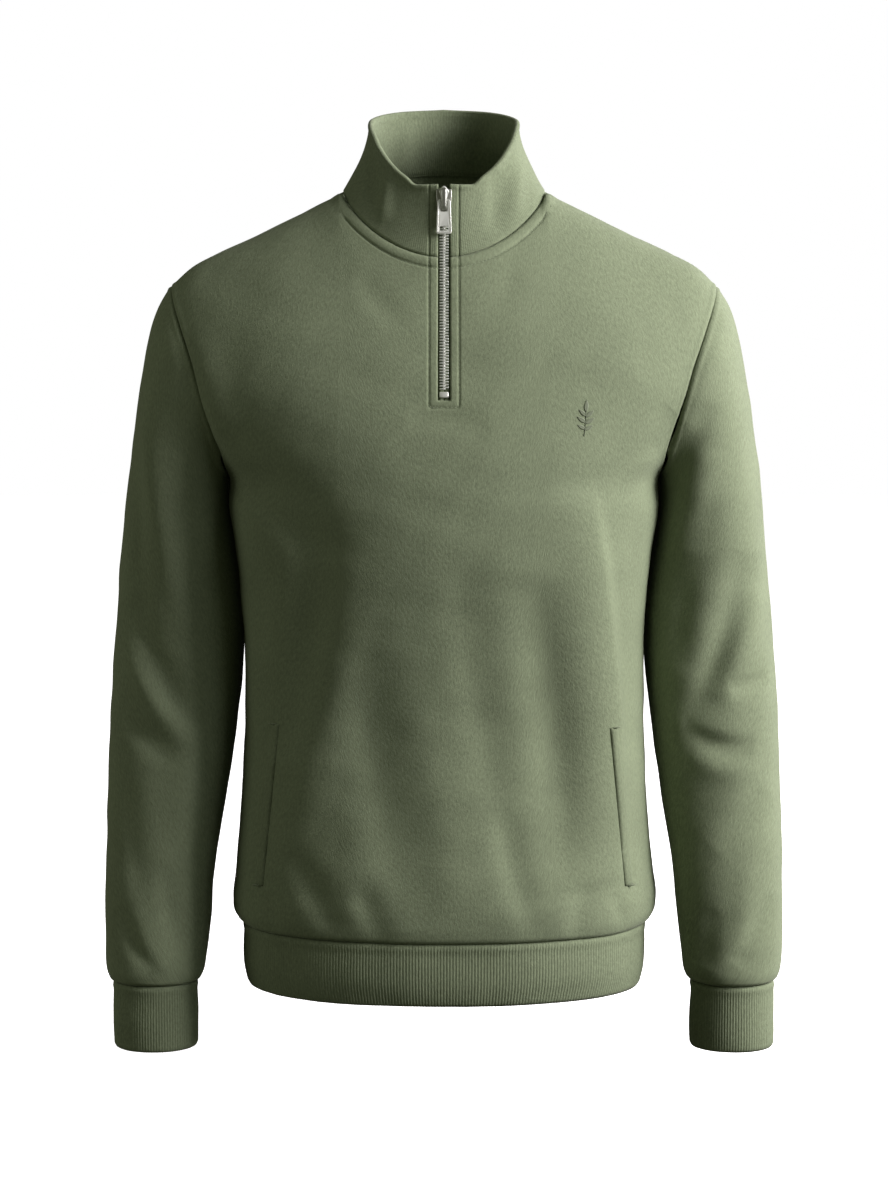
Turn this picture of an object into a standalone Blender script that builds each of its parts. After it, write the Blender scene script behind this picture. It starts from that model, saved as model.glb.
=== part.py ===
"""Quarter zip sweater, filled out as if worn: two body panels, two sleeves, rib cuffs and hem, a stand collar,
two pocket welts and a metal zip with a hinged pull tab.

Sizes are millimetres and become metres as each mesh is made. X runs across the garment, -Y is its front and +Z is
up. The origin is the middle of the neck at shoulder height. Every cloth piece is a grid of points on its outer
face, and a wall is built inwards from it. Pieces that are sewn together share their seam's points and normals, and
each then draws back from the seam by half a gap.
"""

import math
from collections import namedtuple

import bmesh
import bpy
import numpy as np
from mathutils import Matrix
from mathutils.bvhtree import BVHTree

MM = 0.001
FRONT = -1.0
BACK = 1.0

# Walls and gaps.
CLOTH_WALL = 2.0
RIB_WALL = 2.4
COLLAR_WALL = 3.2
WELT_WALL = 1.6
TAPE_WALL = 1.0
SEAM_GAP = 0.4
NECK_SEAM_GAP = 1.0
LAID_GAP = 0.4

# Body.
NECK_HALF = 85.0
SHOULDER_HALF = 229.0
FRONT_NECK_DROP = 52.8
BACK_NECK_RISE = 14.0
FRONT_NECK_DEPTH = 70.0
BACK_NECK_DEPTH = 72.0
SHOULDER_SEAM_Y = -4.0
NECK_ROUNDNESS = 0.8
INNER_RIDGE_SLOPE = 0.45
SHOULDER_ROUND = 130.0
SHOULDER_POWER = 2.2
BODY_POWER = 2.3
HEM_SEAM_Z = -617.0
SLIT_HALF = 5.0

Ridge = namedtuple("Ridge", "half height")
RIDGE = [
    Ridge(85.0, 0.0),
    Ridge(120.0, -17.0),
    Ridge(156.0, -35.0),
    Ridge(190.0, -51.0),
    Ridge(212.0, -63.0),
    Ridge(229.0, -78.0),
]

# Seam is the half width at the armhole or side seam, form is that of the figure behind it.
Torso = namedtuple("Torso", "height seam form front back")
TORSO = [
    Torso(20.0, 229.0, 262.0, 62.0, 102.0),
    Torso(-40.0, 229.0, 262.0, 74.0, 104.0),
    Torso(-78.0, 229.0, 262.0, 84.0, 106.0),
    Torso(-96.0, 224.5, 257.0, 90.0, 108.0),
    Torso(-114.0, 218.0, 250.0, 97.0, 110.0),
    Torso(-139.0, 208.5, 239.0, 105.0, 112.0),
    Torso(-167.0, 200.0, 225.0, 113.0, 114.0),
    Torso(-200.0, 190.5, 205.0, 120.0, 117.0),
    Torso(-221.0, 185.2, 192.0, 123.0, 118.0),
    Torso(-232.0, 183.0, 183.0, 124.0, 119.0),
    Torso(-262.0, 178.3, 178.3, 125.0, 119.0),
    Torso(-301.0, 174.0, 174.0, 124.0, 118.0),
    Torso(-350.0, 170.3, 170.3, 119.0, 114.0),
    Torso(-395.0, 169.0, 169.0, 115.0, 110.0),
    Torso(-440.0, 169.3, 169.3, 112.0, 108.0),
    Torso(-490.0, 171.0, 171.0, 113.0, 109.0),
    Torso(-535.0, 173.7, 173.7, 116.0, 112.0),
    Torso(-575.0, 178.0, 178.0, 120.0, 116.0),
    Torso(-598.0, 179.8, 179.8, 120.5, 116.5),
    Torso(-610.0, 177.5, 177.5, 119.0, 115.0),
    Torso(-617.0, 171.5, 171.5, 116.5, 112.5),
]

# Grid of a body panel: half widths of its columns along the top edge, and how far down each row lies. The row at
# SLIT_ROW ends the zip slit, and the one at ARMHOLE_ROW is at the underarm.
COLUMN_HALVES = [
    22.0, 40.0, 57.0, 71.0, 80.0, 83.7, 85.0, 108.0, 134.0, 160.0, 184.0, 205.0, 220.0, 229.0,
]  # fmt: skip
NECK_COLUMNS = 7
ROW_SHARES = [
    0.0, 0.02, 0.05, 0.085, 0.125, 0.165, 0.204, 0.245, 0.272, 0.2857, 0.34,
    0.41, 0.49, 0.57, 0.65, 0.73, 0.81, 0.885, 0.94, 0.978, 1.0,
]  # fmt: skip
SLIT_ROW = 6
ARMHOLE_ROW = 9
BACK_NECK_FADE = 0.03
FRONT_NECK_FADE = 0.06
EDGE_PULL = 3.0

# Sleeve sections, each through a point on the outer fold and one on the underarm line.
Sleeve = namedtuple("Sleeve", "step outer_x outer_z inner_x inner_z depth centre_y")
SLEEVE = [
    Sleeve(0, 229.0, -78.0, 183.0, -231.1, 62.0, 0.0),
    Sleeve(1, 240.5, -97.0, 186.0, -236.0, 66.0, 4.0),
    Sleeve(2, 248.8, -126.0, 184.8, -242.0, 68.0, 9.0),
    Sleeve(3, 257.0, -168.0, 181.8, -251.0, 68.0, 14.0),
    Sleeve(4, 264.0, -213.0, 178.2, -265.0, 67.0, 18.0),
    Sleeve(5, 270.5, -262.0, 174.6, -287.0, 65.0, 21.0),
    Sleeve(6, 275.5, -312.0, 171.6, -322.0, 62.0, 23.0),
    Sleeve(7, 279.5, -360.0, 169.9, -364.0, 60.0, 23.0),
    Sleeve(8, 283.0, -405.0, 172.5, -406.0, 57.0, 20.0),
    Sleeve(9, 285.5, -450.0, 177.0, -450.0, 55.0, 15.0),
    Sleeve(10, 287.0, -495.0, 183.5, -495.0, 52.0, 9.0),
    Sleeve(11, 288.0, -540.0, 191.0, -540.0, 49.0, 2.0),
    Sleeve(12, 288.3, -580.0, 196.5, -580.0, 46.5, -5.0),
    Sleeve(13, 288.3, -615.0, 199.5, -615.0, 44.5, -10.0),
    Sleeve(14, 288.0, -643.0, 202.5, -643.0, 43.0, -13.0),
    Sleeve(15, 286.5, -659.0, 205.0, -659.0, 41.5, -15.0),
    Sleeve(16, 281.5, -667.0, 210.0, -667.0, 37.0, -16.0),
]
SLEEVE_POWER = 2.15
HEAD_STEPS = 5.0

# Rib bands: height below their seam, and how far they draw in there.
Band = namedtuple("Band", "drop draw")
CUFF = [Band(0.0, 0.0), Band(6.0, 0.6), Band(30.0, 0.8), Band(56.0, 0.4)]
HEM = [Band(0.0, 0.0), Band(5.0, 0.8), Band(18.0, 0.9), Band(37.0, 1.6), Band(53.0, 4.6)]

# Stand collar: height of its top edge at each angle round the neck from the zip, and the share of each row.
Edge = namedtuple("Edge", "angle height")
COLLAR_EDGE = [
    Edge(0.0, 6.6),
    Edge(18.0, 6.2),
    Edge(22.6, 6.4),
    Edge(30.0, 12.4),
    Edge(38.0, 18.0),
    Edge(48.0, 26.0),
    Edge(60.0, 37.4),
    Edge(72.0, 48.0),
    Edge(85.0, 55.5),
    Edge(97.0, 59.8),
    Edge(112.0, 62.8),
    Edge(140.0, 67.0),
    Edge(180.0, 69.5),
]
COLLAR_TOP_HALF = 62.5
COLLAR_TOP_FRONT = 66.0
COLLAR_TOP_BACK = 62.0
COLLAR_FLARE = 1.7
COLLAR_SHARES = [0.0, 0.1, 0.28, 0.5, 0.76, 1.0]

# Largest folds, as lines seen from the front or back: ends, half width, and depth (a ridge is positive).
Fold = namedtuple("Fold", "face x0 z0 x1 z1 width depth")
FOLDS = [
    Fold(FRONT, -196.0, -190.0, -112.0, -262.0, 17.0, -4.0),
    Fold(FRONT, -112.0, -262.0, -128.0, -360.0, 20.0, -3.0),
    Fold(FRONT, 118.0, -250.0, 146.0, -430.0, 22.0, 4.0),
    Fold(FRONT, 92.0, -330.0, 112.0, -560.0, 18.0, -2.5),
    Fold(FRONT, -45.0, -520.0, -32.0, -606.0, 11.0, -3.0),
    Fold(FRONT, 62.0, -510.0, 74.0, -600.0, 12.0, -2.5),
    Fold(FRONT, -120.0, -545.0, -88.0, -604.0, 11.0, -3.0),
    Fold(FRONT, -236.0, -190.0, -212.0, -330.0, 11.0, 5.0),
    Fold(FRONT, -262.0, -215.0, -262.0, -370.0, 9.0, -4.0),
    Fold(FRONT, -246.0, -352.0, -222.0, -432.0, 12.0, -5.0),
    Fold(FRONT, -272.0, -540.0, -244.0, -640.0, 10.0, -4.0),
    Fold(FRONT, 196.0, -270.0, 236.0, -196.0, 11.0, -4.0),
    Fold(FRONT, 236.0, -350.0, 214.0, -432.0, 12.0, -5.0),
    Fold(FRONT, 266.0, -462.0, 220.0, -446.0, 9.0, -4.0),
    Fold(FRONT, 262.0, -560.0, 222.0, -545.0, 9.0, -3.5),
    Fold(BACK, -170.0, -230.0, -96.0, -300.0, 17.0, -4.0),
    Fold(BACK, 172.0, -224.0, 90.0, -306.0, 19.0, -4.5),
    Fold(BACK, -40.0, -500.0, -52.0, -604.0, 13.0, -3.0),
    Fold(BACK, 66.0, -470.0, 58.0, -602.0, 14.0, -3.0),
    Fold(BACK, -232.0, -420.0, -268.0, -400.0, 11.0, -4.0),
    Fold(BACK, 228.0, -430.0, 266.0, -404.0, 11.0, -4.0),
]

# Pocket welts on the front panel.
WELT_TOP = (140.5, -440.0)
WELT_BOTTOM = (154.5, -576.0)
WELT_WIDTH = 7.0
WELT_ROWS = 9

# Zip.
TAPE_HALF = 13.0
TAPE_SET_BACK = 1.6
TAPE_TOP_Z = 3.5
TAPE_END_Z = -178.0
CHAIN_HALF = 3.4
CHAIN_TOP_Z = 0.0
CHAIN_END_Z = -160.5
CHAIN_WALL = 2.4
CHAIN_SUNK = 0.8
STOP_END_Z = -166.0
ZIP_ROWS = 14

# Slider and pull tab, laid out round the tab's hinge: y up along the zip, z out of the cloth.
SLIDER_TOP = 11.6
SLIDER_CROWN_HALF = 1.6
SLIDER_SHOULDER = 7.4
SLIDER_WAIST = 2.0
SLIDER_END = -9.4
SLIDER_HALF = 6.3
SLIDER_NARROW_HALF = 4.8
SLIDER_BACK = 0.3
SLIDER_FACE = 2.1
BRIDGE_HALF = 2.0
BRIDGE_TOP = 10.2
BRIDGE_END = -7.9
BRIDGE_OUT = 6.4
BRIDGE_BAR = 1.3
BRIDGE_FOOT = 1.5
HINGE_OUT = 3.6
HINGE_DROP = 13.6
TAB_LENGTH = 28.4
TAB_TOP_HALF = 5.4
TAB_END_HALF = 6.3
TAB_WALL = 1.5
TAB_BAR = 0.9
TAB_TOP_CHAMFER = 1.4
TAB_END_CHAMFER = 1.0
TAB_SLOT_HALF = 3.1
TAB_SLOT_LENGTH = 8.5
TAB_HOLE_HALF = 4.1
TAB_HOLE_TOP = 20.8
TAB_HOLE_END = 25.5

Finish = namedtuple("Finish", "colour roughness metallic")
JERSEY = Finish((0.150, 0.185, 0.112), 0.9, 0.0)
RIB = Finish((0.135, 0.168, 0.100), 0.9, 0.0)
TAPE = Finish((0.110, 0.135, 0.085), 0.9, 0.0)
NICKEL = Finish((0.72, 0.71, 0.69), 0.25, 1.0)


def clear_scene():
    for obj in list(bpy.data.objects):
        bpy.data.objects.remove(obj, do_unlink=True)


def make_collection(name, shown):
    collection = bpy.data.collections.new(name)
    bpy.context.scene.collection.children.link(collection)
    collection.hide_render = not shown
    return collection


def material_for(name, finish):
    material = bpy.data.materials.new(name)
    material.use_nodes = True
    shader = material.node_tree.nodes["Principled BSDF"]
    shader.inputs["Base Color"].default_value = (*finish.colour, 1.0)
    shader.inputs["Roughness"].default_value = finish.roughness
    shader.inputs["Metallic"].default_value = finish.metallic
    return material


def smooth(table, column, place):
    """A table column's value between its rows, on a smooth curve through them; the first column is the place."""
    keys = np.array([row[0] for row in table], float)
    values = np.array([getattr(row, column) for row in table], float)
    order = np.argsort(keys)
    keys = keys[order]
    values = values[order]
    slopes = np.gradient(values, keys)
    place = np.clip(place, keys[0], keys[-1])
    left = np.clip(np.searchsorted(keys, place, side="right") - 1, 0, len(keys) - 2)
    span = keys[left + 1] - keys[left]
    part = (place - keys[left]) / span
    ends = values[left] * (2 * part**3 - 3 * part**2 + 1) + values[left + 1] * (3 * part**2 - 2 * part**3)
    leans = slopes[left] * (part**3 - 2 * part**2 + part) + slopes[left + 1] * (part**3 - part**2)
    return ends + leans * span


def rounded(share, power):
    """Rises from 0 to 1 along a superellipse's quarter."""
    share = np.clip(share, 0.0, 1.0)
    return (1 - (1 - share) ** power) ** (1 / power)


def ridge_height(x):
    """Height of the shoulder ridge, carried on inwards over the neck."""
    outside = smooth(RIDGE, "height", np.abs(x))
    inside = (NECK_HALF - np.abs(x)) * INNER_RIDGE_SLOPE
    return np.where(np.abs(x) < NECK_HALF, inside, outside)


def form_y(face, x, z):
    """Where the figure's front or back surface lies behind a point seen from the front."""
    depth = smooth(TORSO, "front" if face == FRONT else "back", z)
    across = np.clip(np.abs(x) / smooth(TORSO, "form", z), 0.0, 1.0)
    side_round = (1 - across**BODY_POWER) ** (1 / BODY_POWER)
    return face * depth * side_round * rounded((ridge_height(x) - z) / SHOULDER_ROUND, SHOULDER_POWER)


def neck_share(x):
    return np.clip(1 - (x / NECK_HALF) ** 2, 0.0, 1.0)


def top_edge(face, x):
    """The neck seam and the shoulder seams, as y and z."""
    share = neck_share(x)
    reach = -FRONT_NECK_DEPTH if face == FRONT else BACK_NECK_DEPTH
    lift = -FRONT_NECK_DROP if face == FRONT else BACK_NECK_RISE
    y = SHOULDER_SEAM_Y + reach * np.sqrt(share)
    z = np.where(np.abs(x) < NECK_HALF, lift * share**NECK_ROUNDNESS, ridge_height(x))
    return y, z


def panel(face, halves, shares):
    """A body panel's outer face: rows run from the neck and shoulder seams down to the hem seam."""
    x_top = np.array(halves)[None, :]
    share = np.array(shares)[:, None]
    y_top, z_top = top_edge(face, x_top)
    z = z_top + (HEM_SEAM_Z - z_top) * share
    hem_half = smooth(TORSO, "seam", HEM_SEAM_Z)
    x_hem = hem_half * np.sin(math.pi / 2 * x_top / SHOULDER_HALF)
    straight = SHOULDER_HALF + (hem_half - SHOULDER_HALF) * share
    edge_z = ridge_height(SHOULDER_HALF) + (HEM_SEAM_Z - ridge_height(SHOULDER_HALF)) * share
    pull = smooth(TORSO, "seam", edge_z) - straight
    x = x_top + (x_hem - x_top) * share + pull * np.sign(x_top) * np.abs(x_top / SHOULDER_HALF) ** EDGE_PULL
    fade = BACK_NECK_FADE if face == BACK else FRONT_NECK_FADE
    settle = (y_top - form_y(face, x_top, z_top)) * np.clip(1 - share / fade, 0.0, 1.0) ** 2
    return np.stack([x, form_y(face, x, z) + settle, z], axis=-1)


def sleeve(side, armhole, steps):
    """A sleeve's outer face: ring after ring from the armhole seam to the cuff seam."""
    count = len(armhole)
    turn = 2 * math.pi * np.arange(count)[None, :] / count
    step = np.array(steps, float)[:, None]

    def sized(column):
        return smooth(SLEEVE, column, step)

    def oval(value):
        return np.sign(value) * np.abs(value) ** (2 / SLEEVE_POWER)

    along = oval(np.cos(turn))
    x = (sized("outer_x") + sized("inner_x")) / 2 + (sized("outer_x") - sized("inner_x")) / 2 * along
    z = (sized("outer_z") + sized("inner_z")) / 2 + (sized("outer_z") - sized("inner_z")) / 2 * along
    y = sized("centre_y") - sized("depth") * oval(np.sin(turn))
    tube = np.stack([side * x, y, z], axis=-1)
    head = np.clip(1 - step / HEAD_STEPS, 0.0, 1.0)[..., None] ** 2
    return tube + (np.array(armhole) - tube[0])[None, :, :] * head


def armhole_ring(side, front, back):
    """Seam points from the shoulder down the front armhole to the underarm and up the back one."""
    column = -1 if side > 0 else 0
    down = front[: ARMHOLE_ROW + 1, column]
    up = back[ARMHOLE_ROW - 1 : 0 : -1, column]
    return np.concatenate([down, up])


def band(ring, rows):
    """A rib band under a closed seam ring: each row lies lower and is drawn in towards the middle."""
    middle = ring.mean(axis=0)
    arm = ring - middle
    reach = np.linalg.norm(arm[:, :2], axis=1, keepdims=True)
    levels = []
    for row in rows:
        level = middle + arm * (1 - row.draw / reach)
        level[:, 2] = ring[:, 2] - row.drop
        levels.append(level)
    return np.array(levels)


def collar(seam):
    """The stand collar's outer face from the neck seam's points, which run round from one zip edge to the other."""
    y_middle = SHOULDER_SEAM_Y
    depth = np.where(seam[:, 1] < y_middle, FRONT_NECK_DEPTH, BACK_NECK_DEPTH)
    angle = np.arctan2(seam[:, 0] / NECK_HALF, (y_middle - seam[:, 1]) / depth)
    reach = np.where(seam[:, 1] < y_middle, COLLAR_TOP_FRONT, COLLAR_TOP_BACK)
    top_x = COLLAR_TOP_HALF * np.sin(angle)
    top_x[[0, -1]] = seam[[0, -1], 0]
    top_y = -reach * np.cos(angle)
    top_z = smooth(COLLAR_EDGE, "height", np.abs(np.degrees(angle)))
    rows = []
    for share in COLLAR_SHARES:
        lean = 1 - (1 - share) ** COLLAR_FLARE
        x = seam[:, 0] + (top_x - seam[:, 0]) * lean
        y = seam[:, 1] + (top_y - seam[:, 1]) * lean
        z = seam[:, 2] + (top_z - seam[:, 2]) * share
        rows.append(np.stack([x, y, z], axis=-1))
    return np.array(rows)


def neck_seam(front, back):
    """Neck seam points from the left zip edge round the back to the right zip edge."""
    middle = front.shape[1] // 2
    left = front[0, middle - 1 - NECK_COLUMNS : middle][::-1]
    right = front[0, middle : middle + NECK_COLUMNS + 1]
    back_middle = back.shape[1] // 2
    behind = back[0, back_middle - NECK_COLUMNS + 1 : back_middle + NECK_COLUMNS]
    return np.concatenate([left, behind, right[::-1]])


def steps_of(grid, axis, closed):
    """Central differences along one axis of a grid, with one-sided ones at an open grid's edges."""
    if closed:
        return np.roll(grid, -1, axis) - np.roll(grid, 1, axis)
    return np.gradient(grid, axis=axis)


def raw_normals(piece):
    across = steps_of(piece.grid, 1, piece.closed)
    down = steps_of(piece.grid, 0, False)
    normal = np.cross(down, across) * piece.turned
    return normal / np.maximum(np.linalg.norm(normal, axis=-1, keepdims=True), 1e-9)


class Piece:
    """A cloth piece: its outer grid, whether the columns close into a ring, and which way round they run."""

    def __init__(self, name, grid, closed, turned, wall, finish):
        self.name = name
        self.grid = grid
        self.closed = closed
        self.turned = turned
        self.wall = wall
        self.finish = finish
        self.gap = SEAM_GAP
        self.hole = None
        self.normals = None


def share_normals(pieces):
    """Gives points that pieces have in common the mean of their normals, so that walls meet on a mitre."""
    sums = {}
    keys = {}
    for piece in pieces:
        normals = raw_normals(piece)
        keys[piece.name] = [tuple(key) for key in np.round(piece.grid.reshape(-1, 3), 2)]
        for key, normal in zip(keys[piece.name], normals.reshape(-1, 3)):
            sums[key] = sums.get(key, np.zeros(3)) + normal
    for piece in pieces:
        shared = np.array([sums[key] for key in keys[piece.name]])
        shared /= np.maximum(np.linalg.norm(shared, axis=1, keepdims=True), 1e-9)
        piece.normals = shared.reshape(piece.grid.shape)


def fold_height(points, normals):
    """How far the folds lift each point along its normal."""
    height = np.zeros(points.shape[:-1])
    for fold in FOLDS:
        start = np.array([fold.x0, fold.z0])
        run = np.array([fold.x1, fold.z1]) - start
        flat = points[..., [0, 2]] - start
        share = np.clip((flat @ run) / (run @ run), 0.0, 1.0)
        apart = np.linalg.norm(flat - share[..., None] * run, axis=-1)
        taper = np.sin(math.pi * np.clip(share, 0.06, 0.94))
        facing = np.clip(normals[..., 1] * fold.face, 0.0, 1.0)
        height += fold.depth * facing * taper * np.exp(-((apart / fold.width) ** 2))
    return height


def draw_back(grid, closed, gap):
    """Draws an open grid's edges back from its seams along the cloth, square to each edge."""
    moved = grid.copy()

    def inwards(edge, inner, ring):
        along = steps_of(edge, 0, ring)
        along /= np.linalg.norm(along, axis=-1, keepdims=True)
        arm = inner - edge
        arm -= along * (arm * along).sum(axis=-1, keepdims=True)
        return arm / np.linalg.norm(arm, axis=-1, keepdims=True) * gap / 2

    moved[0] += inwards(grid[0], grid[1], closed)
    moved[-1] += inwards(grid[-1], grid[-2], closed)
    if not closed:
        moved[:, 0] += inwards(grid[:, 0], grid[:, 1], False)
        moved[:, -1] += inwards(grid[:, -1], grid[:, -2], False)
    return moved


def cell_rings(rows, columns, closed, hole):
    """Corner indices of each grid cell that is cloth, leaving out the slit's cells."""
    cells = []
    for row in range(rows - 1):
        for column in range(columns if closed else columns - 1):
            if hole is not None and row < hole[0] and column == hole[1]:
                continue
            after = (column + 1) % columns
            first = row * columns
            second = (row + 1) * columns
            cells.append((first + column, first + after, second + after, second + column))
    return cells


def add_wall(name, grid, normals, wall, closed, turned, material, collection, hole=None):
    """Makes a closed wall from an outer grid, an inner copy and rims along every open edge."""
    rows, columns = grid.shape[:2]
    outer = grid.reshape(-1, 3)
    inner = outer - normals.reshape(-1, 3) * wall
    cells = cell_rings(rows, columns, closed, hole)
    if turned < 0:
        cells = [cell[::-1] for cell in cells]
    shell = bmesh.new()
    used = sorted({index for cell in cells for index in cell})
    front = {index: shell.verts.new(outer[index] * MM) for index in used}
    rear = {index: shell.verts.new(inner[index] * MM) for index in used}
    sides = {}
    for cell in cells:
        shell.faces.new([front[index] for index in cell[::-1]])
        shell.faces.new([rear[index] for index in cell])
        for start, end in zip(cell, cell[1:] + cell[:1]):
            sides[(start, end)] = True
    for start, end in sides:
        if (end, start) not in sides:
            shell.faces.new([front[start], front[end], rear[end], rear[start]])
    return link_mesh(name, shell, material, collection)


def link_mesh(name, shell, material, collection):
    mesh = bpy.data.meshes.new(name)
    shell.to_mesh(mesh)
    shell.free()
    mesh.materials.append(material)
    obj = bpy.data.objects.new(name, mesh)
    collection.objects.link(obj)
    return obj


def mirrored(halves, middle):
    return [-half for half in halves[::-1]] + middle + list(halves)


def build_cloth(collection):
    """Builds every cut piece of cloth. Returns the front panel, the collar and the front panel's object."""
    front = panel(FRONT, mirrored(COLUMN_HALVES, [-SLIT_HALF, SLIT_HALF]), ROW_SHARES)
    back = panel(BACK, mirrored(COLUMN_HALVES, [0.0]), ROW_SHARES)
    pieces = [
        Piece("front_panel", front, False, 1, CLOTH_WALL, JERSEY),
        Piece("back_panel", back, False, -1, CLOTH_WALL, JERSEY),
    ]
    pieces[0].hole = (SLIT_ROW, front.shape[1] // 2 - 1)
    steps = [row.step for row in SLEEVE]
    for side, word in ((-1, "left"), (1, "right")):
        tube = sleeve(side, armhole_ring(side, front, back), steps)
        cuff = band(tube[-1], CUFF)
        pieces.append(Piece(f"sleeve_{word}", tube, True, -side, CLOTH_WALL, JERSEY))
        pieces.append(Piece(f"cuff_{word}", cuff, True, -side, RIB_WALL, RIB))
    hem_seam = np.concatenate([front[-1], back[-1, -2:0:-1]])
    pieces.append(Piece("hem_band", band(hem_seam, HEM), True, 1, RIB_WALL, RIB))
    stand = collar(neck_seam(front, back))[::-1]
    pieces.append(Piece("collar", stand, False, -1, COLLAR_WALL, RIB))
    pieces[-1].gap = NECK_SEAM_GAP
    share_normals(pieces)
    objects = []
    for piece in pieces:
        lift = fold_height(piece.grid, piece.normals)
        piece.grid = piece.grid + piece.normals * lift[..., None]
        material = material_for(f"{piece.name}_cloth", piece.finish)
        drawn = draw_back(piece.grid, piece.closed, piece.gap)
        objects.append(
            add_wall(
                piece.name,
                drawn,
                piece.normals,
                piece.wall,
                piece.closed,
                piece.turned,
                material,
                collection,
                piece.hole,
            )
        )
    return pieces[0], pieces[-1], objects[0]


def build_welts(panel_object, collection):
    """Lays each pocket's welt on the front panel's own faces, moved out."""
    tree = BVHTree.FromObject(panel_object, bpy.context.evaluated_depsgraph_get())
    for side, word in ((-1, "left"), (1, "right")):
        rows = []
        normals = []
        for share in np.linspace(0.0, 1.0, WELT_ROWS):
            x = side * (WELT_TOP[0] + (WELT_BOTTOM[0] - WELT_TOP[0]) * share)
            z = WELT_TOP[1] + (WELT_BOTTOM[1] - WELT_TOP[1]) * share
            hits = [
                tree.ray_cast((across * MM, -1.0, z * MM), (0.0, 1.0, 0.0))
                for across in (x - WELT_WIDTH / 2, x, x + WELT_WIDTH / 2)
            ]
            normal = np.array(hits[1][1])
            rows.append([np.array(hit[0]) / MM + normal * (LAID_GAP + WELT_WALL) for hit in hits])
            normals.append([normal] * len(hits))
        material = material_for(f"pocket_welt_{word}_cloth", RIB)
        add_wall(
            f"pocket_welt_{word}", np.array(rows), np.array(normals), WELT_WALL, False, 1, material, collection
        )


def centre_line(front, stand):
    """The zip's path: heights, depths and outward normals down the middle of the collar and front."""
    middle = front.grid.shape[1] // 2
    body = front.grid[:, middle]
    upper = stand.grid[:, 0]
    line = np.concatenate([upper[:-1], body])
    order = np.argsort(line[:, 2])
    return line[order, 2], line[order, 1]


def path_point(path, z):
    """Depth and outward normal of the zip path at a height."""
    heights, depths = path
    y = np.interp(z, heights, depths)
    step = 9.0
    rise = (np.interp(z + step, heights, depths) - np.interp(z - step, heights, depths)) / (2 * step)
    normal = np.array([0.0, -1.0, rise])
    return y, normal / np.linalg.norm(normal)


def zip_strip(name, path, edges, z_ends, wall, finish, collection):
    """A strip along the zip path. Each edge is its x and how far its face is sunk below the cloth's."""
    rows = []
    normals = []
    for z in np.linspace(z_ends[0], z_ends[1], ZIP_ROWS):
        y, normal = path_point(path, z)
        rows.append([np.array([x, y, z]) - normal * sunk for x, sunk in edges])
        normals.append([normal] * len(edges))
    material = material_for(f"{name}_finish", finish)
    return add_wall(name, np.array(rows), np.array(normals), wall, False, 1, material, collection)


def plate(name, outlines, wall, material, collection):
    """A flat plate from closed outlines; those after the first are holes."""
    curve = bpy.data.curves.new(name, "CURVE")
    curve.dimensions = "2D"
    curve.fill_mode = "BOTH"
    curve.extrude = wall / 2 * MM
    for outline in outlines:
        spline = curve.splines.new("POLY")
        spline.points.add(len(outline) - 1)
        for point, (x, y) in zip(spline.points, outline):
            point.co = (x * MM, y * MM, 0.0, 1.0)
        spline.use_cyclic_u = True
    draft = bpy.data.objects.new(name, curve)
    mesh = bpy.data.meshes.new_from_object(draft)
    bpy.data.objects.remove(draft)
    shell = bmesh.new()
    shell.from_mesh(mesh)
    bmesh.ops.remove_doubles(shell, verts=shell.verts, dist=1e-7)
    bmesh.ops.recalc_face_normals(shell, faces=shell.faces)
    return link_mesh(name, shell, material, collection)


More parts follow.
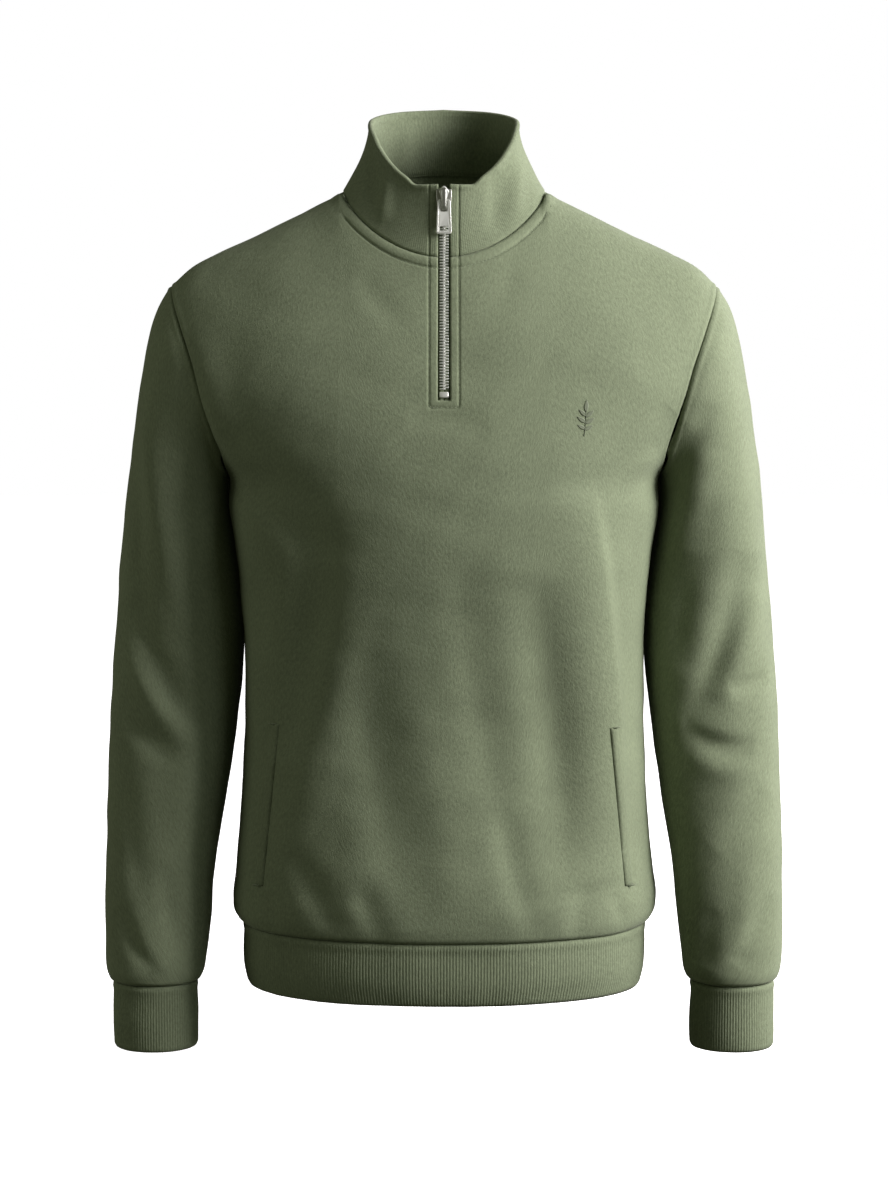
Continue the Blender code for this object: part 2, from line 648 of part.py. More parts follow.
def build_slider_and_tab(path, shown, cutters):
    """The slider with its bridge, and the tab that hangs from it."""
    hinge_z = COLLAR_EDGE[0].height - HINGE_DROP
    y, normal = path_point(path, hinge_z)
    tilt = math.acos(normal[2])
    hinge = np.array([0.0, y, hinge_z]) + normal * HINGE_OUT
    turn = (tilt, 0.0, 0.0)
    metal = material_for("zip_slider_nickel", NICKEL)

    crown = [
        (-SLIDER_CROWN_HALF, SLIDER_TOP),
        (-SLIDER_HALF, SLIDER_SHOULDER),
        (-SLIDER_HALF, SLIDER_WAIST),
        (-SLIDER_NARROW_HALF, SLIDER_END),
        (SLIDER_NARROW_HALF, SLIDER_END),
        (SLIDER_HALF, SLIDER_WAIST),
        (SLIDER_HALF, SLIDER_SHOULDER),
        (SLIDER_CROWN_HALF, SLIDER_TOP),
    ]
    slider = plate("zip_slider", [crown], SLIDER_FACE - SLIDER_BACK, metal, shown)
    out = normal * ((SLIDER_FACE + SLIDER_BACK) / 2 - HINGE_OUT)
    slider.location = (hinge + out) * MM
    slider.rotation_euler = turn

    # The bridge's outline: how far along the zip, and how far out of the cloth.
    ring = [
        (BRIDGE_TOP, BRIDGE_FOOT),
        (BRIDGE_TOP, BRIDGE_OUT - 1.0),
        (BRIDGE_TOP - 1.2, BRIDGE_OUT),
        (BRIDGE_END + 2.5, BRIDGE_OUT - 0.6),
        (BRIDGE_END, BRIDGE_OUT - 2.2),
        (BRIDGE_END, BRIDGE_FOOT),
        (BRIDGE_END + BRIDGE_BAR, BRIDGE_FOOT),
        (BRIDGE_END + BRIDGE_BAR, BRIDGE_OUT - 3.0),
        (BRIDGE_END + 3.2, BRIDGE_OUT - 1.8),
        (BRIDGE_TOP - BRIDGE_BAR, BRIDGE_OUT - BRIDGE_BAR),
        (BRIDGE_TOP - BRIDGE_BAR, BRIDGE_FOOT),
    ]
    bridge = plate("slider_bridge", [ring], 2 * BRIDGE_HALF, metal, cutters)
    bridge.hide_render = True
    bridge.display_type = "WIRE"
    # The outline's x is up the zip and its y is out of the cloth, so its thickness lies across the zip.
    up = np.array([0.0, normal[2], -normal[1]])
    frame = np.eye(4)
    frame[:3, 0] = up
    frame[:3, 1] = normal
    frame[:3, 2] = np.cross(up, normal)
    frame[:3, 3] = (hinge - normal * HINGE_OUT) * MM
    bridge.matrix_world = Matrix(frame.tolist())
    joined = slider.modifiers.new("bridge", "BOOLEAN")
    joined.operation = "UNION"
    joined.solver = "EXACT"
    joined.object = bridge

    tab_outline = [
        (-TAB_TOP_HALF, -TAB_BAR),
        (-TAB_TOP_HALF + TAB_TOP_CHAMFER, TAB_BAR),
        (TAB_TOP_HALF - TAB_TOP_CHAMFER, TAB_BAR),
        (TAB_TOP_HALF, -TAB_BAR),
        (TAB_END_HALF, -TAB_LENGTH + TAB_BAR + TAB_END_CHAMFER),
        (TAB_END_HALF - TAB_END_CHAMFER, -TAB_LENGTH + TAB_BAR),
        (-TAB_END_HALF + TAB_END_CHAMFER, -TAB_LENGTH + TAB_BAR),
        (-TAB_END_HALF, -TAB_LENGTH + TAB_BAR + TAB_END_CHAMFER),
    ]
    slot = box_outline(TAB_SLOT_HALF, -TAB_BAR, -TAB_BAR - TAB_SLOT_LENGTH)
    eye = box_outline(TAB_HOLE_HALF, -TAB_HOLE_TOP, -TAB_HOLE_END)
    tab = plate("zip_pull_tab", [tab_outline, slot, eye], TAB_WALL, material_for("pull_tab_nickel", NICKEL), shown)
    tab.location = hinge * MM
    tab.rotation_euler = turn
    return hinge


def box_outline(half, top, end):
    return [(-half, top), (half, top), (half, end), (-half, end)]


def build_zip(front, stand, shown, cutters):
    path = centre_line(front, stand)
    sunk = COLLAR_WALL + LAID_GAP
    for side, word in ((-1, "left"), (1, "right")):
        edges = sorted([(side * SEAM_GAP / 2, sunk), (side * TAPE_HALF, sunk + TAPE_SET_BACK)])
        zip_strip(f"zip_tape_{word}", path, edges, (TAPE_TOP_Z, TAPE_END_Z), TAPE_WALL, TAPE, shown)
    chain = [(-CHAIN_HALF, CHAIN_SUNK), (CHAIN_HALF, CHAIN_SUNK)]
    zip_strip("zip_chain", path, chain, (CHAIN_TOP_Z, CHAIN_END_Z), CHAIN_WALL, NICKEL, shown)
    stop_ends = (CHAIN_END_Z - LAID_GAP, STOP_END_Z)
    zip_strip("zip_bottom_stop", path, chain, stop_ends, CHAIN_WALL, NICKEL, shown)
    build_slider_and_tab(path, shown, cutters)


def main():
    clear_scene()
    shown = make_collection("quarter_zip_sweater", True)
    cutters = make_collection("helpers", False)
    front, stand, front_object = build_cloth(shown)
    build_welts(front_object, shown)
    build_zip(front, stand, shown, cutters)


main()
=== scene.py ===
"""Quarter zip sweater in brushed sage jersey, filled out as if worn, with rib collar, cuffs and hem.

Sizes are millimetres in the garment's own frame and become metres as each mesh is made. X runs across,
-Y is the front and +Z is up. Each cut piece is a fine grid on the same form as its solid, with its
creases, rolled seams, stitched grooves and ribs, given a wall and its own finish.
"""

import math  # noqa: E402
from collections import namedtuple  # noqa: E402

import bmesh  # noqa: E402
import bpy  # noqa: E402
import numpy as np  # noqa: E402
from mathutils import Matrix, Vector  # noqa: E402
from mathutils.bvhtree import BVHTree  # noqa: E402
from mathutils.kdtree import KDTree  # noqa: E402


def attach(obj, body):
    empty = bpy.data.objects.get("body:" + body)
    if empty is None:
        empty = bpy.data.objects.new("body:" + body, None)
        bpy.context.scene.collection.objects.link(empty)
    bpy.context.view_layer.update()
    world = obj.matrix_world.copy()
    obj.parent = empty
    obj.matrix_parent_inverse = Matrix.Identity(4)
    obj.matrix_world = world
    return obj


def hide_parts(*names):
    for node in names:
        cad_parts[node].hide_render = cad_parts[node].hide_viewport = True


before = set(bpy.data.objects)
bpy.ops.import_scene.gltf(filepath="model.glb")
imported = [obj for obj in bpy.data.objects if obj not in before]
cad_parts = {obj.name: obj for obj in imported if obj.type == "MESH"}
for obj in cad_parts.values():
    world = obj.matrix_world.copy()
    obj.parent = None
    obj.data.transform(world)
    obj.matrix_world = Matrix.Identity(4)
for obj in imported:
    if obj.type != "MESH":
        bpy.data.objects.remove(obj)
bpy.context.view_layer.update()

MM = 0.001
FRONT = -1.0
BACK = 1.0
GARMENT = "garment"
PULL = "pull"

# ---------------------------------------------------------------- sizes of the cut pieces

CLOTH_WALL = 1.9
RIB_WALL = 2.2
COLLAR_WALL = 3.2

NECK_HALF = 85.0
SHOULDER_HALF = 229.0
FRONT_NECK_DROP = 52.8
BACK_NECK_RISE = 14.0
FRONT_NECK_DEPTH = 70.0
BACK_NECK_DEPTH = 72.0
SHOULDER_SEAM_Y = -4.0
NECK_ROUNDNESS = 0.8
INNER_RIDGE_SLOPE = 0.45
RIDGE_SOFTENING = 20.0
SHOULDER_ROUND = 130.0
SHOULDER_POWER = 2.2
BODY_POWER = 2.3
HEM_SEAM_Z = -617.0
SLIT_HALF = 5.0
SLIT_SHARE = 0.204
UNDERARM_SHARE = 0.2857
NECK_FADE = {FRONT: 0.06, BACK: 0.03}
EDGE_PULL = 3.0



def table_of(kind, table):
    """A table's rows as named tuples of one kind."""
    return [kind(*row) for row in table]


Ridge = namedtuple("Ridge", "half height")
RIDGE = table_of(Ridge, [
    (85, 0), (120, -17), (156, -35), (190, -51), (212, -63), (229, -78),
])  # fmt: skip

Torso = namedtuple("Torso", "height seam form front back")
TORSO = table_of(Torso, [
    (20, 229, 262, 62, 102), (-40, 229, 262, 74, 104), (-78, 229, 262, 84, 106), (-96, 224.5, 257, 90, 108),
    (-114, 218, 250, 97, 110), (-139, 208.5, 239, 105, 112), (-167, 200, 225, 113, 114),
    (-200, 190.5, 205, 120, 117), (-221, 185.2, 192, 123, 118), (-232, 183, 183, 124, 119),
    (-262, 181, 181, 125, 119), (-301, 175.2, 175.2, 124, 118), (-350, 170.3, 170.3, 119, 114),
    (-395, 169, 169, 115, 110), (-440, 169.3, 169.3, 112, 108), (-490, 171, 171, 113, 109),
    (-535, 173.7, 173.7, 116, 112), (-575, 178, 178, 120, 116), (-598, 179.8, 179.8, 120.5, 116.5),
    (-610, 177.5, 177.5, 119, 115), (-617, 171.5, 171.5, 116.5, 112.5),
])  # fmt: skip

# Shares of the panel's length that the armhole's even steps lie at.
Step = namedtuple("Step", "step share")
ARMHOLE = table_of(Step, [
    (0, 0), (1, 0.02), (2, 0.05), (3, 0.085), (4, 0.125), (5, 0.165), (6, 0.204), (7, 0.245), (8, 0.272),
    (9, 0.2857),
])  # fmt: skip

Sleeve = namedtuple("Sleeve", "step outer_x outer_z inner_x inner_z depth centre_y")
SLEEVE = table_of(Sleeve, [
    (0, 229, -78, 183, -231.1, 62, 0), (1, 240.5, -97, 183.4, -236, 66, 4),
    (2, 248.8, -126, 182.9, -242, 68, 9), (3, 257, -168, 182.2, -251, 68, 14),
    (4, 264, -213, 180.9, -265, 67, 18), (5, 270.5, -262, 177.3, -287, 65, 21),
    (6, 275.5, -312, 172.8, -322, 62, 23), (7, 279.5, -360, 169.9, -364, 60, 23),
    (8, 283, -405, 172.5, -406, 57, 20), (9, 285.5, -450, 177, -450, 55, 15),
    (10, 287, -495, 183.5, -495, 52, 9), (11, 288, -540, 191, -540, 49, 2),
    (12, 288.3, -580, 196.5, -580, 46.5, -5), (13, 288.3, -615, 199.5, -615, 44.5, -10),
    (14, 288, -643, 202.5, -643, 43, -13), (15, 286.5, -659, 205, -659, 41.5, -15),
    (16, 281.5, -667, 210, -667, 37, -16),
])  # fmt: skip
SLEEVE_POWER = 2.15
HEAD_STEPS = 5.0

Band = namedtuple("Band", "drop draw")
CUFF = [Band(0.0, 0.0), Band(6.0, 0.6), Band(30.0, 0.8), Band(56.0, 0.4)]
HEM = [Band(0.0, 0.0), Band(5.0, 0.8), Band(18.0, 0.9), Band(37.0, 1.6), Band(53.0, 4.6)]

Edge = namedtuple("Edge", "angle height")
COLLAR_EDGE = table_of(Edge, [
    (0, 6.6), (18, 6.2), (22.6, 6.4), (30, 12.4), (38, 18), (48, 26), (60, 37.4), (72, 48), (85, 55.5),
    (97, 59.8), (112, 62.8), (140, 67), (180, 69.5),
])  # fmt: skip
COLLAR_TOP_HALF = 62.5
COLLAR_TOP_FRONT = 66.0
COLLAR_TOP_BACK = 62.0
COLLAR_FLARE = 1.7
COLLAR_ZIP_TURN = 20.0

# Stretches of a grid: where each starts and ends, and how closely its lines lie.
Stretch = namedtuple("Stretch", "start end step")
ACROSS_HALF = table_of(Stretch, [
    (0, 5, 1.7), (5, 15, 0.75), (15, 85, 3), (85, 214, 3.3), (214, 229, 1.15),
])  # fmt: skip
DOWN_PANEL = table_of(Stretch, [
    (0, 0.034, 0.0016), (0.034, 0.19, 0.0085), (0.19, SLIT_SHARE, 0.002), (SLIT_SHARE, 0.226, 0.002),
    (0.226, 0.93, 0.0088), (0.93, 1, 0.0035),
])  # fmt: skip
DOWN_SLEEVE = table_of(Stretch, [
    (0, 1, 0.07), (1, 14, 0.09), (14, 16, 0.1),
])  # fmt: skip
DOWN_COLLAR = table_of(Stretch, [(0, 0.12, 0.016), (0.12, 0.88, 0.058), (0.88, 1, 0.012)])
SLEEVE_COLUMNS = 132
ARMHOLE_POINTS = 400

# ---------------------------------------------------------------- creases

# A crease runs between two points given by x and z, bowed sideways in the middle. Near and far are its
# half widths on the two sides of its line, and depth is how far it lifts (or sinks) the cloth, before
# CREASE_LIFT scales it.
Crease = namedtuple("Crease", "face x0 z0 x1 z1 bow near far depth")
CREASE_LIFT = 1.5
CREASE_TAPER = 0.7
CREASE_END = 12.0
CREASE_FACING = 1.6


def creases_on(face, table):
    """The creases of one face, from the rest of their rows."""
    return [Crease(face, *row) for row in table]


BODY_CREASES = creases_on(FRONT, [
    (-205, -112, -164, -246, 5, 9, 15, 3.2), (-186, -200, -88, -300, 12, 14, 24, -3.4),
    (-112, -236, -132, -470, -12, 22, 26, -6), (-84, -290, -134, -572, -7, 18, 24, 3.6),
    (-154, -300, -150, -500, 4, 12, 14, -2.4), (-66, -350, -26, -604, 9, 20, 26, -2.4),
    (-24, -400, 4, -590, -5, 18, 20, 1), (14, -290, 66, -560, 8, 18, 26, -2),
    (118, -240, 144, -574, -5, 34, 9, 8), (70, -310, 100, -585, -6, 22, 18, -3.6),
    (160, -260, 156, -470, -3, 12, 10, -2.4), (190, -180, 128, -240, -8, 12, 20, -2.2),
    (176, -214, 128, -240, -4, 8, 12, 1.8), (-126, -540, -86, -612, 3, 10, 14, -2.2),
    (-70, -560, -50, -616, 2, 10, 13, -1.5), (48, -500, 78, -612, 5, 11, 15, -1.8),
    (120, -566, 106, -615, 0, 9, 11, -1.5), (142, -580, 152, -612, 0, 6, 8, -1.2),
    (-150, -580, -140, -614, 0, 7, 8, -1.4), (-70, -66, -24, -112, 5, 10, 12, -0.9),
    (62, -64, 28, -100, -4, 9, 10, -0.7), (-30, -186, 36, -190, -4, 8, 12, -1),
]) + creases_on(BACK, [
    (-186, -196, -98, -284, 9, 12, 17, -4.2), (188, -190, 88, -292, -10, 13, 19, -4.6),
    (-176, -232, -110, -350, 8, 10, 14, -3), (172, -240, 120, -340, -6, 9, 13, -2.8),
    (-46, -350, -58, -612, -6, 14, 18, -3.2), (8, -400, 2, -606, 4, 12, 14, 2.4),
    (62, -330, 54, -610, 7, 12, 18, -3.4), (118, -380, 132, -600, 5, 13, 11, 3),
    (-120, -400, -112, -606, -4, 11, 13, 2.6), (-22, -578, -30, -616, 0, 7, 8, -2.6),
    (88, -582, 96, -616, 0, 6, 8, -2.4), (-96, -584, -88, -615, 0, 6, 7, -2.2),
    (-60, -34, 62, -36, -6, 9, 14, -1.4),
])  # fmt: skip
LEFT_SLEEVE_CREASES = creases_on(FRONT, [
    (-246, -140, -216, -372, 8, 10, 14, 3.4), (-258, -180, -246, -380, 8, 10, 10, -3.2),
    (-268, -340, -204, -452, 6, 9, 14, -4), (-274, -370, -216, -462, 4, 9, 12, 2.8),
    (-278, -430, -216, -478, 6, 9, 12, -2.4), (-224, -420, -218, -560, -4, 14, 14, 2),
    (-268, -480, -246, -610, 6, 11, 16, -2), (-234, -560, -220, -640, 3, 9, 12, -1.6),
    (-276, -600, -244, -650, 4, 8, 10, -2.2), (-262, -616, -230, -654, 2, 7, 9, 1.4),
]) + creases_on(BACK, [
    (-214, -170, -262, -250, 6, 11, 14, -4), (-188, -330, -262, -396, -6, 9, 13, -5.2),
    (-196, -392, -268, -430, -4, 8, 11, -4.6), (-210, -480, -270, -560, 5, 9, 12, -3.6),
    (-216, -600, -262, -644, 3, 7, 9, -3.4),
])  # fmt: skip
RIGHT_SLEEVE_CREASES = creases_on(FRONT, [
    (184, -262, 226, -176, -6, 10, 12, -2.2), (192, -318, 226, -214, -5, 12, 16, 2.6),
    (204, -300, 196, -400, 3, 11, 14, -2.4), (252, -300, 204, -446, -7, 14, 18, -4.2),
    (266, -330, 226, -424, -4, 10, 12, 2.6), (274, -404, 240, -414, -3, 6, 8, -2.2),
    (262, -462, 200, -446, -7, 7, 12, -3.2), (268, -484, 206, -474, -4, 10, 12, 1.8),
    (270, -500, 228, -548, -4, 12, 16, -1.8), (262, -560, 252, -640, 3, 12, 16, 1.2),
    (276, -590, 244, -646, -3, 8, 12, -1.8), (228, -600, 218, -650, 2, 8, 10, -1.6),
]) + creases_on(BACK, [
    (212, -176, 262, -256, -6, 11, 14, -4.2), (186, -346, 264, -402, 6, 9, 13, -5),
    (198, -408, 270, -440, 4, 8, 11, -4.4), (212, -500, 268, -570, -4, 9, 12, -3.4),
    (220, -606, 262, -650, -3, 7, 9, -3.2),
])  # fmt: skip
COLLAR_CREASES = creases_on(FRONT, [
    (-58, 36, -60, -14, 2, 5, 8, -1.6), (-44, 20, -50, -26, 1, 6, 6, 1.6), (44, 18, 40, -34, -2, 8, 10, -2),
    (62, 34, 58, -20, -1, 7, 6, 1.4),
]) + creases_on(BACK, [
    (-30, 60, -36, 16, 2, 8, 9, -1.2), (34, 58, 30, 18, 2, 7, 9, 1.2),
])  # fmt: skip

# ---------------------------------------------------------------- seams, stitching and ribs

# A rolled seam: how deep the cloth dips at the seam, over what width, and the soft swell beside it.
Roll = namedtuple("Roll", "dip width swell")
NECK_ROLL = Roll(1.2, 1.0, 0.0)
SHOULDER_ROLL = Roll(1.1, 1.2, 0.5)
ARMHOLE_ROLL = Roll(1.0, 1.1, 0.6)
SIDE_ROLL = Roll(-0.3, 3.0, 0.3)
HEM_ROLL = Roll(1.2, 1.3, 0.6)
CUFF_ROLL = Roll(1.1, 1.2, 0.5)

FOLD_SWELL = 0.9
NECK_STITCH = 9.6
NECK_BAND_SWELL = 0.9
NECK_CALM = 30.0
COLLAR_CALM = 20.0
COLLAR_WAVE = (40.0, 6)
COLLAR_SETTLE = 0.5
# The collar's wall is pinched at the neck seam and fuller along its folded edge.
PINCH = 0.45
PINCH_WIDTH = 1.5
FOLD_FULL = 0.42
FOLD_FULL_AT = 2.0
FOLD_FULL_WIDTH = 4.0
FOLD_SWELL_AT = 2.2
FOLD_SWELL_WIDTH = 2.6
COLLAR_STITCH_TOP = 5.6
PLACKET_HALF = 12.3
PLACKET_END_Z = -174.0
PLACKET_CORNER = 3.0
STITCH_DIP = 0.85
STITCH_DIP_WIDTH = 0.85

STITCH_PITCH = 3.1
STITCH_LENGTH = 2.3
STITCH_RADIUS = 0.24

HEM_RIB_PITCH = 2.6
CUFF_RIB_PITCH = 2.35
COLLAR_RIB_PITCH = 1.9
RIB_SAMPLES = 4
HEM_ROWS = 20
CUFF_ROWS = 26
RIB_START = 3.0
BAND_SWELL = 0.8
HEM_RIB = 0.21
CUFF_RIB = 0.21
COLLAR_RIB = 0.08

WELT_TOP = (140.5, -440.0)
WELT_BOTTOM = (154.5, -576.0)
WELT_WIDTH = 7.0
WELT_RAISE = 1.5
WELT_GROOVE = 4.3
WELT_EDGE_POINTS = 40
WELT_ROWS = 70
WELT_COLUMNS = 11
WELT_OUT = 0.25
WELT_END = 1.6
WELT_WALLS = (0.25, 1.3)
TACK_LENGTH = 10.0
TACK_LEAN = 0.12
TACK_OUT = 1.2
TACK_RADIUS = 0.8

SPRIG_CENTRE = (115.5, -183.0)

# ---------------------------------------------------------------- zip

TAPE_HALF = 13.0
TAPE_SET_BACK = 1.6
TAPE_SUNK = 2.7
TAPE_WALL = 0.9
TAPE_TOP_Z = 3.5
TAPE_END_Z = -178.0
TAPE_GAP = 0.15
TAPE_COLUMNS = 16
TAPE_ROWS = 120
TAPE_BEAD = 0.9
TAPE_BEAD_AT = 2.6
TAPE_BEAD_WIDTH = 1.3
PATH_STEP = 9.0
TOOTH_PITCH = 2.3
TOOTH_REACH = 3.7
TOOTH_DEEP = 2.1
TOOTH_HIGH = 0.46
TOOTH_BEVEL = 0.28
TOOTH_OVERLAP = 1.0
CHAIN_TOP_Z = -1.0
CHAIN_END_Z = -160.5
STOP_END_Z = -166.0
STOP_GAP = 0.8
STOP_BEVEL = 0.5
CHAIN_SUNK = 0.8
HINGE_OUT = 3.6
HINGE_DROP = 13.6

# ---------------------------------------------------------------- grids and forms


def spread(stretches):
    """Grid places along a list of stretches."""
    places = []
    for row in stretches:
        count = max(1, round((row.end - row.start) / row.step))
        places += list(np.linspace(row.start, row.end, count, endpoint=False))
    return np.array(places + [stretches[-1].end])


def smooth(table, column, place):
    """A table column's value between its rows, on a smooth curve. The first column is the place."""
    keys = np.array([row[0] for row in table], float)
    values = np.array([getattr(row, column) for row in table], float)
    order = np.argsort(keys)
    keys = keys[order]
    values = values[order]
    slopes = np.gradient(values, keys)
    place = np.clip(place, keys[0], keys[-1])
    left = np.clip(np.searchsorted(keys, place, side="right") - 1, 0, len(keys) - 2)
    span = keys[left + 1] - keys[left]
    part = (place - keys[left]) / span
    ends = values[left] * (2 * part**3 - 3 * part**2 + 1)
    ends = ends + values[left + 1] * (3 * part**2 - 2 * part**3)
    leans = slopes[left] * (part**3 - 2 * part**2 + part) + slopes[left + 1] * (part**3 - part**2)
    return ends + leans * span


def unit(value):
    """The value kept between 0 and 1."""
    return np.clip(value, 0.0, 1.0)


def bell(distance, width):
    """1 on a line, falling off to each side over about a width."""
    return np.exp(-((distance / width) ** 2))


def rounded(share, power):
    share = unit(share)
    return (1 - (1 - share) ** power) ** (1 / power)


def ridge_height(x):
    outside = smooth(RIDGE, "height", np.abs(x))
    at_neck = math.hypot(NECK_HALF, RIDGE_SOFTENING)
    inside = (at_neck - np.hypot(x, RIDGE_SOFTENING)) * INNER_RIDGE_SLOPE
    return np.where(np.abs(x) < NECK_HALF, inside, outside)


def form_y(face, x, z):
    """Where the filled-out front or back lies, seen from the front."""
    depth = smooth(TORSO, "front" if face == FRONT else "back", z)
    across = unit(np.abs(x) / smooth(TORSO, "form", z))
    side_round = (1 - across**BODY_POWER) ** (1 / BODY_POWER)
    top_round = rounded((ridge_height(x) - z) / SHOULDER_ROUND, SHOULDER_POWER)
    return face * depth * side_round * top_round


def top_edge(face, x):
    """The neck seam and the shoulder seams, as y and z."""
    share = unit(1 - (x / NECK_HALF) ** 2)
    reach = -FRONT_NECK_DEPTH if face == FRONT else BACK_NECK_DEPTH
    lift = -FRONT_NECK_DROP if face == FRONT else BACK_NECK_RISE
    y = SHOULDER_SEAM_Y + reach * np.sqrt(share)
    z = np.where(np.abs(x) < NECK_HALF, lift * share**NECK_ROUNDNESS, ridge_height(x))
    return y, z


def panel(face, halves, shares):
    """A body panel's outer face: rows run from the neck and shoulder seams down to the hem seam."""
    x_top = np.asarray(halves, float)[None, :]
    share = np.asarray(shares, float)[:, None]
    y_top, z_top = top_edge(face, x_top)
    z = z_top + (HEM_SEAM_Z - z_top) * share
    hem_half = smooth(TORSO, "seam", HEM_SEAM_Z)
    x_hem = hem_half * np.sin(math.pi / 2 * x_top / SHOULDER_HALF)
    straight = SHOULDER_HALF + (hem_half - SHOULDER_HALF) * share
    edge_top = ridge_height(SHOULDER_HALF)
    pull = smooth(TORSO, "seam", edge_top + (HEM_SEAM_Z - edge_top) * share) - straight
    near_edge = np.sign(x_top) * np.abs(x_top / SHOULDER_HALF) ** EDGE_PULL
    x = x_top + (x_hem - x_top) * share + pull * near_edge
    settle = (y_top - form_y(face, x_top, z_top)) * unit(1 - share / NECK_FADE[face]) ** 2
    return np.stack([x, form_y(face, x, z) + settle, z], axis=-1)


def armhole_ring(side, count):
    """Seam points from the shoulder down the front armhole to the underarm and up the back one."""
    place = np.arange(count) / count * 2 * ARMHOLE[-1].step
    on_front = place <= ARMHOLE[-1].step
    shares = smooth(ARMHOLE, "share", np.where(on_front, place, 2 * ARMHOLE[-1].step - place))
    front = panel(FRONT, [side * SHOULDER_HALF], shares)[:, 0]
    back = panel(BACK, [side * SHOULDER_HALF], shares)[:, 0]
    return np.where(on_front[:, None], front, back)


def sleeve(side, count, steps):
    """A sleeve's outer face: ring after ring from the armhole seam to the cuff seam."""
    turn = 2 * math.pi * np.arange(count)[None, :] / count
    step = np.asarray(steps, float)[:, None]

    def sized(column):
        return smooth(SLEEVE, column, step)

    def oval(value):
        return np.sign(value) * np.abs(value) ** (2 / SLEEVE_POWER)

    along = oval(np.cos(turn))
    outer_x, inner_x, outer_z, inner_z = map(sized, ("outer_x", "inner_x", "outer_z", "inner_z"))
    x = (outer_x + inner_x) / 2 + (outer_x - inner_x) / 2 * along
    z = (outer_z + inner_z) / 2 + (outer_z - inner_z) / 2 * along
    y = sized("centre_y") - sized("depth") * oval(np.sin(turn))
    tube = np.stack([side * x, y, z], axis=-1)
    head = unit(1 - step / HEAD_STEPS)[..., None] ** 2
    return tube + (armhole_ring(side, count) - tube[0])[None, :, :] * head


def even_ring(line, count, closed=True):
    """The same line with evenly spaced points."""
    points = np.concatenate([line, line[:1]]) if closed else line
    run = np.concatenate([[0.0], np.cumsum(np.linalg.norm(np.diff(points, axis=0), axis=1))])
    wanted = np.linspace(0.0, run[-1], count + 1)[:-1] if closed else np.linspace(0.0, run[-1], count)
    even = [np.interp(wanted, run, points[:, axis]) for axis in range(3)]
    return np.stack(even, axis=-1), run[-1]


def band(ring, table, count):
    """A rib band under a closed seam ring."""
    drop = np.linspace(0.0, table[-1].drop, count)
    draw = smooth(table, "draw", drop)
    middle = ring.mean(axis=0)
    arm = ring - middle
    reach = np.linalg.norm(arm[:, :2], axis=1, keepdims=True)
    levels = []
    for fall, pull in zip(drop, draw):
        level = middle + arm * (1 - pull / reach)
        level[:, 2] = ring[:, 2] - fall
        levels.append(level)
    return np.array(levels)


def collar(seam, shares):
    """The stand collar's outer face, from its top edge down to the neck seam."""
    depth = np.where(seam[:, 1] < SHOULDER_SEAM_Y, FRONT_NECK_DEPTH, BACK_NECK_DEPTH)
    angle = np.arctan2(seam[:, 0] / NECK_HALF, (SHOULDER_SEAM_Y - seam[:, 1]) / depth)
    reach = np.where(seam[:, 1] < SHOULDER_SEAM_Y, COLLAR_TOP_FRONT, COLLAR_TOP_BACK)
    near_zip = unit(1 - np.abs(angle) / math.radians(COLLAR_ZIP_TURN))
    edge_gap = SLIT_HALF - COLLAR_TOP_HALF * math.sin(math.atan2(SLIT_HALF / NECK_HALF, 1.0))
    top_x = COLLAR_TOP_HALF * np.sin(angle) + np.sign(seam[:, 0]) * edge_gap * near_zip
    top_z = smooth(COLLAR_EDGE, "height", np.abs(np.degrees(angle)))
    top = np.stack([top_x, -reach * np.cos(angle), top_z], -1)
    rows = []
    for share in shares:
        lean = 1 - (1 - share) ** COLLAR_FLARE
        blend = np.array([lean, lean, share])
        rows.append(seam + (top - seam) * blend)
    return np.array(rows)[::-1]


# ---------------------------------------------------------------- working a grid's surface


def steps_of(grid, axis, closed):
    if closed:
        return np.roll(grid, -1, axis) - np.roll(grid, 1, axis)
    return np.gradient(grid, axis=axis)


def normals_of(grid, closed, turned):
    normal = np.cross(steps_of(grid, 0, False), steps_of(grid, 1, closed)) * turned
    return normal / np.maximum(np.linalg.norm(normal, axis=-1, keepdims=True), 1e-9)


def crease_height(points, normals, creases):
    """How far the creases lift each point along its normal."""
    height = np.zeros(points.shape[:-1])
    for crease in creases:
        start = np.array([crease.x0, crease.z0])
        run = np.array([crease.x1, crease.z1]) - start
        length = np.linalg.norm(run)
        flat = points[..., [0, 2]] - start
        share = (flat @ run) / length**2
        inside = unit(share)
        across = (flat[..., 0] * run[1] - flat[..., 1] * run[0]) / length
        across = across - crease.bow * 4 * inside * (1 - inside)
        beyond = (share - inside) * length
        width = np.where(across > 0, crease.near, crease.far)
        taper = np.sin(math.pi * inside) ** CREASE_TAPER
        facing = unit(normals[..., 1] * crease.face * CREASE_FACING)
        lift = CREASE_LIFT * crease.depth * facing * taper
        height += lift * np.exp(-((across / width) ** 2) - (beyond / CREASE_END) ** 2)
    return height


def distance_to(points, line):
    """Distance of each grid point from a line of closely spaced points."""
    tree = KDTree(len(line))
    for index, point in enumerate(line):
        tree.insert(point, index)
    tree.balance()
    flat = points.reshape(-1, 3)
    found = np.array([tree.find(point)[2] for point in flat])
    return found.reshape(points.shape[:-1])


def dense(line, spacing=1.0):
    """A line's points at about a given spacing."""
    _, length = even_ring(line, 2, closed=False)
    return even_ring(line, max(8, int(length / spacing)), closed=False)[0]


def roll_height(distance, roll):
    """A seam's dip and the soft swell beside it."""
    dip = -roll.dip * bell(distance, roll.width)
    swell = roll.swell * bell(distance - 3.2 * roll.width, 1.7 * roll.width)
    return dip + swell


def seam_roll(grid, line, roll):
    """The dip and swell along a line of seam points."""
    return roll_height(distance_to(grid, dense(line)), roll)


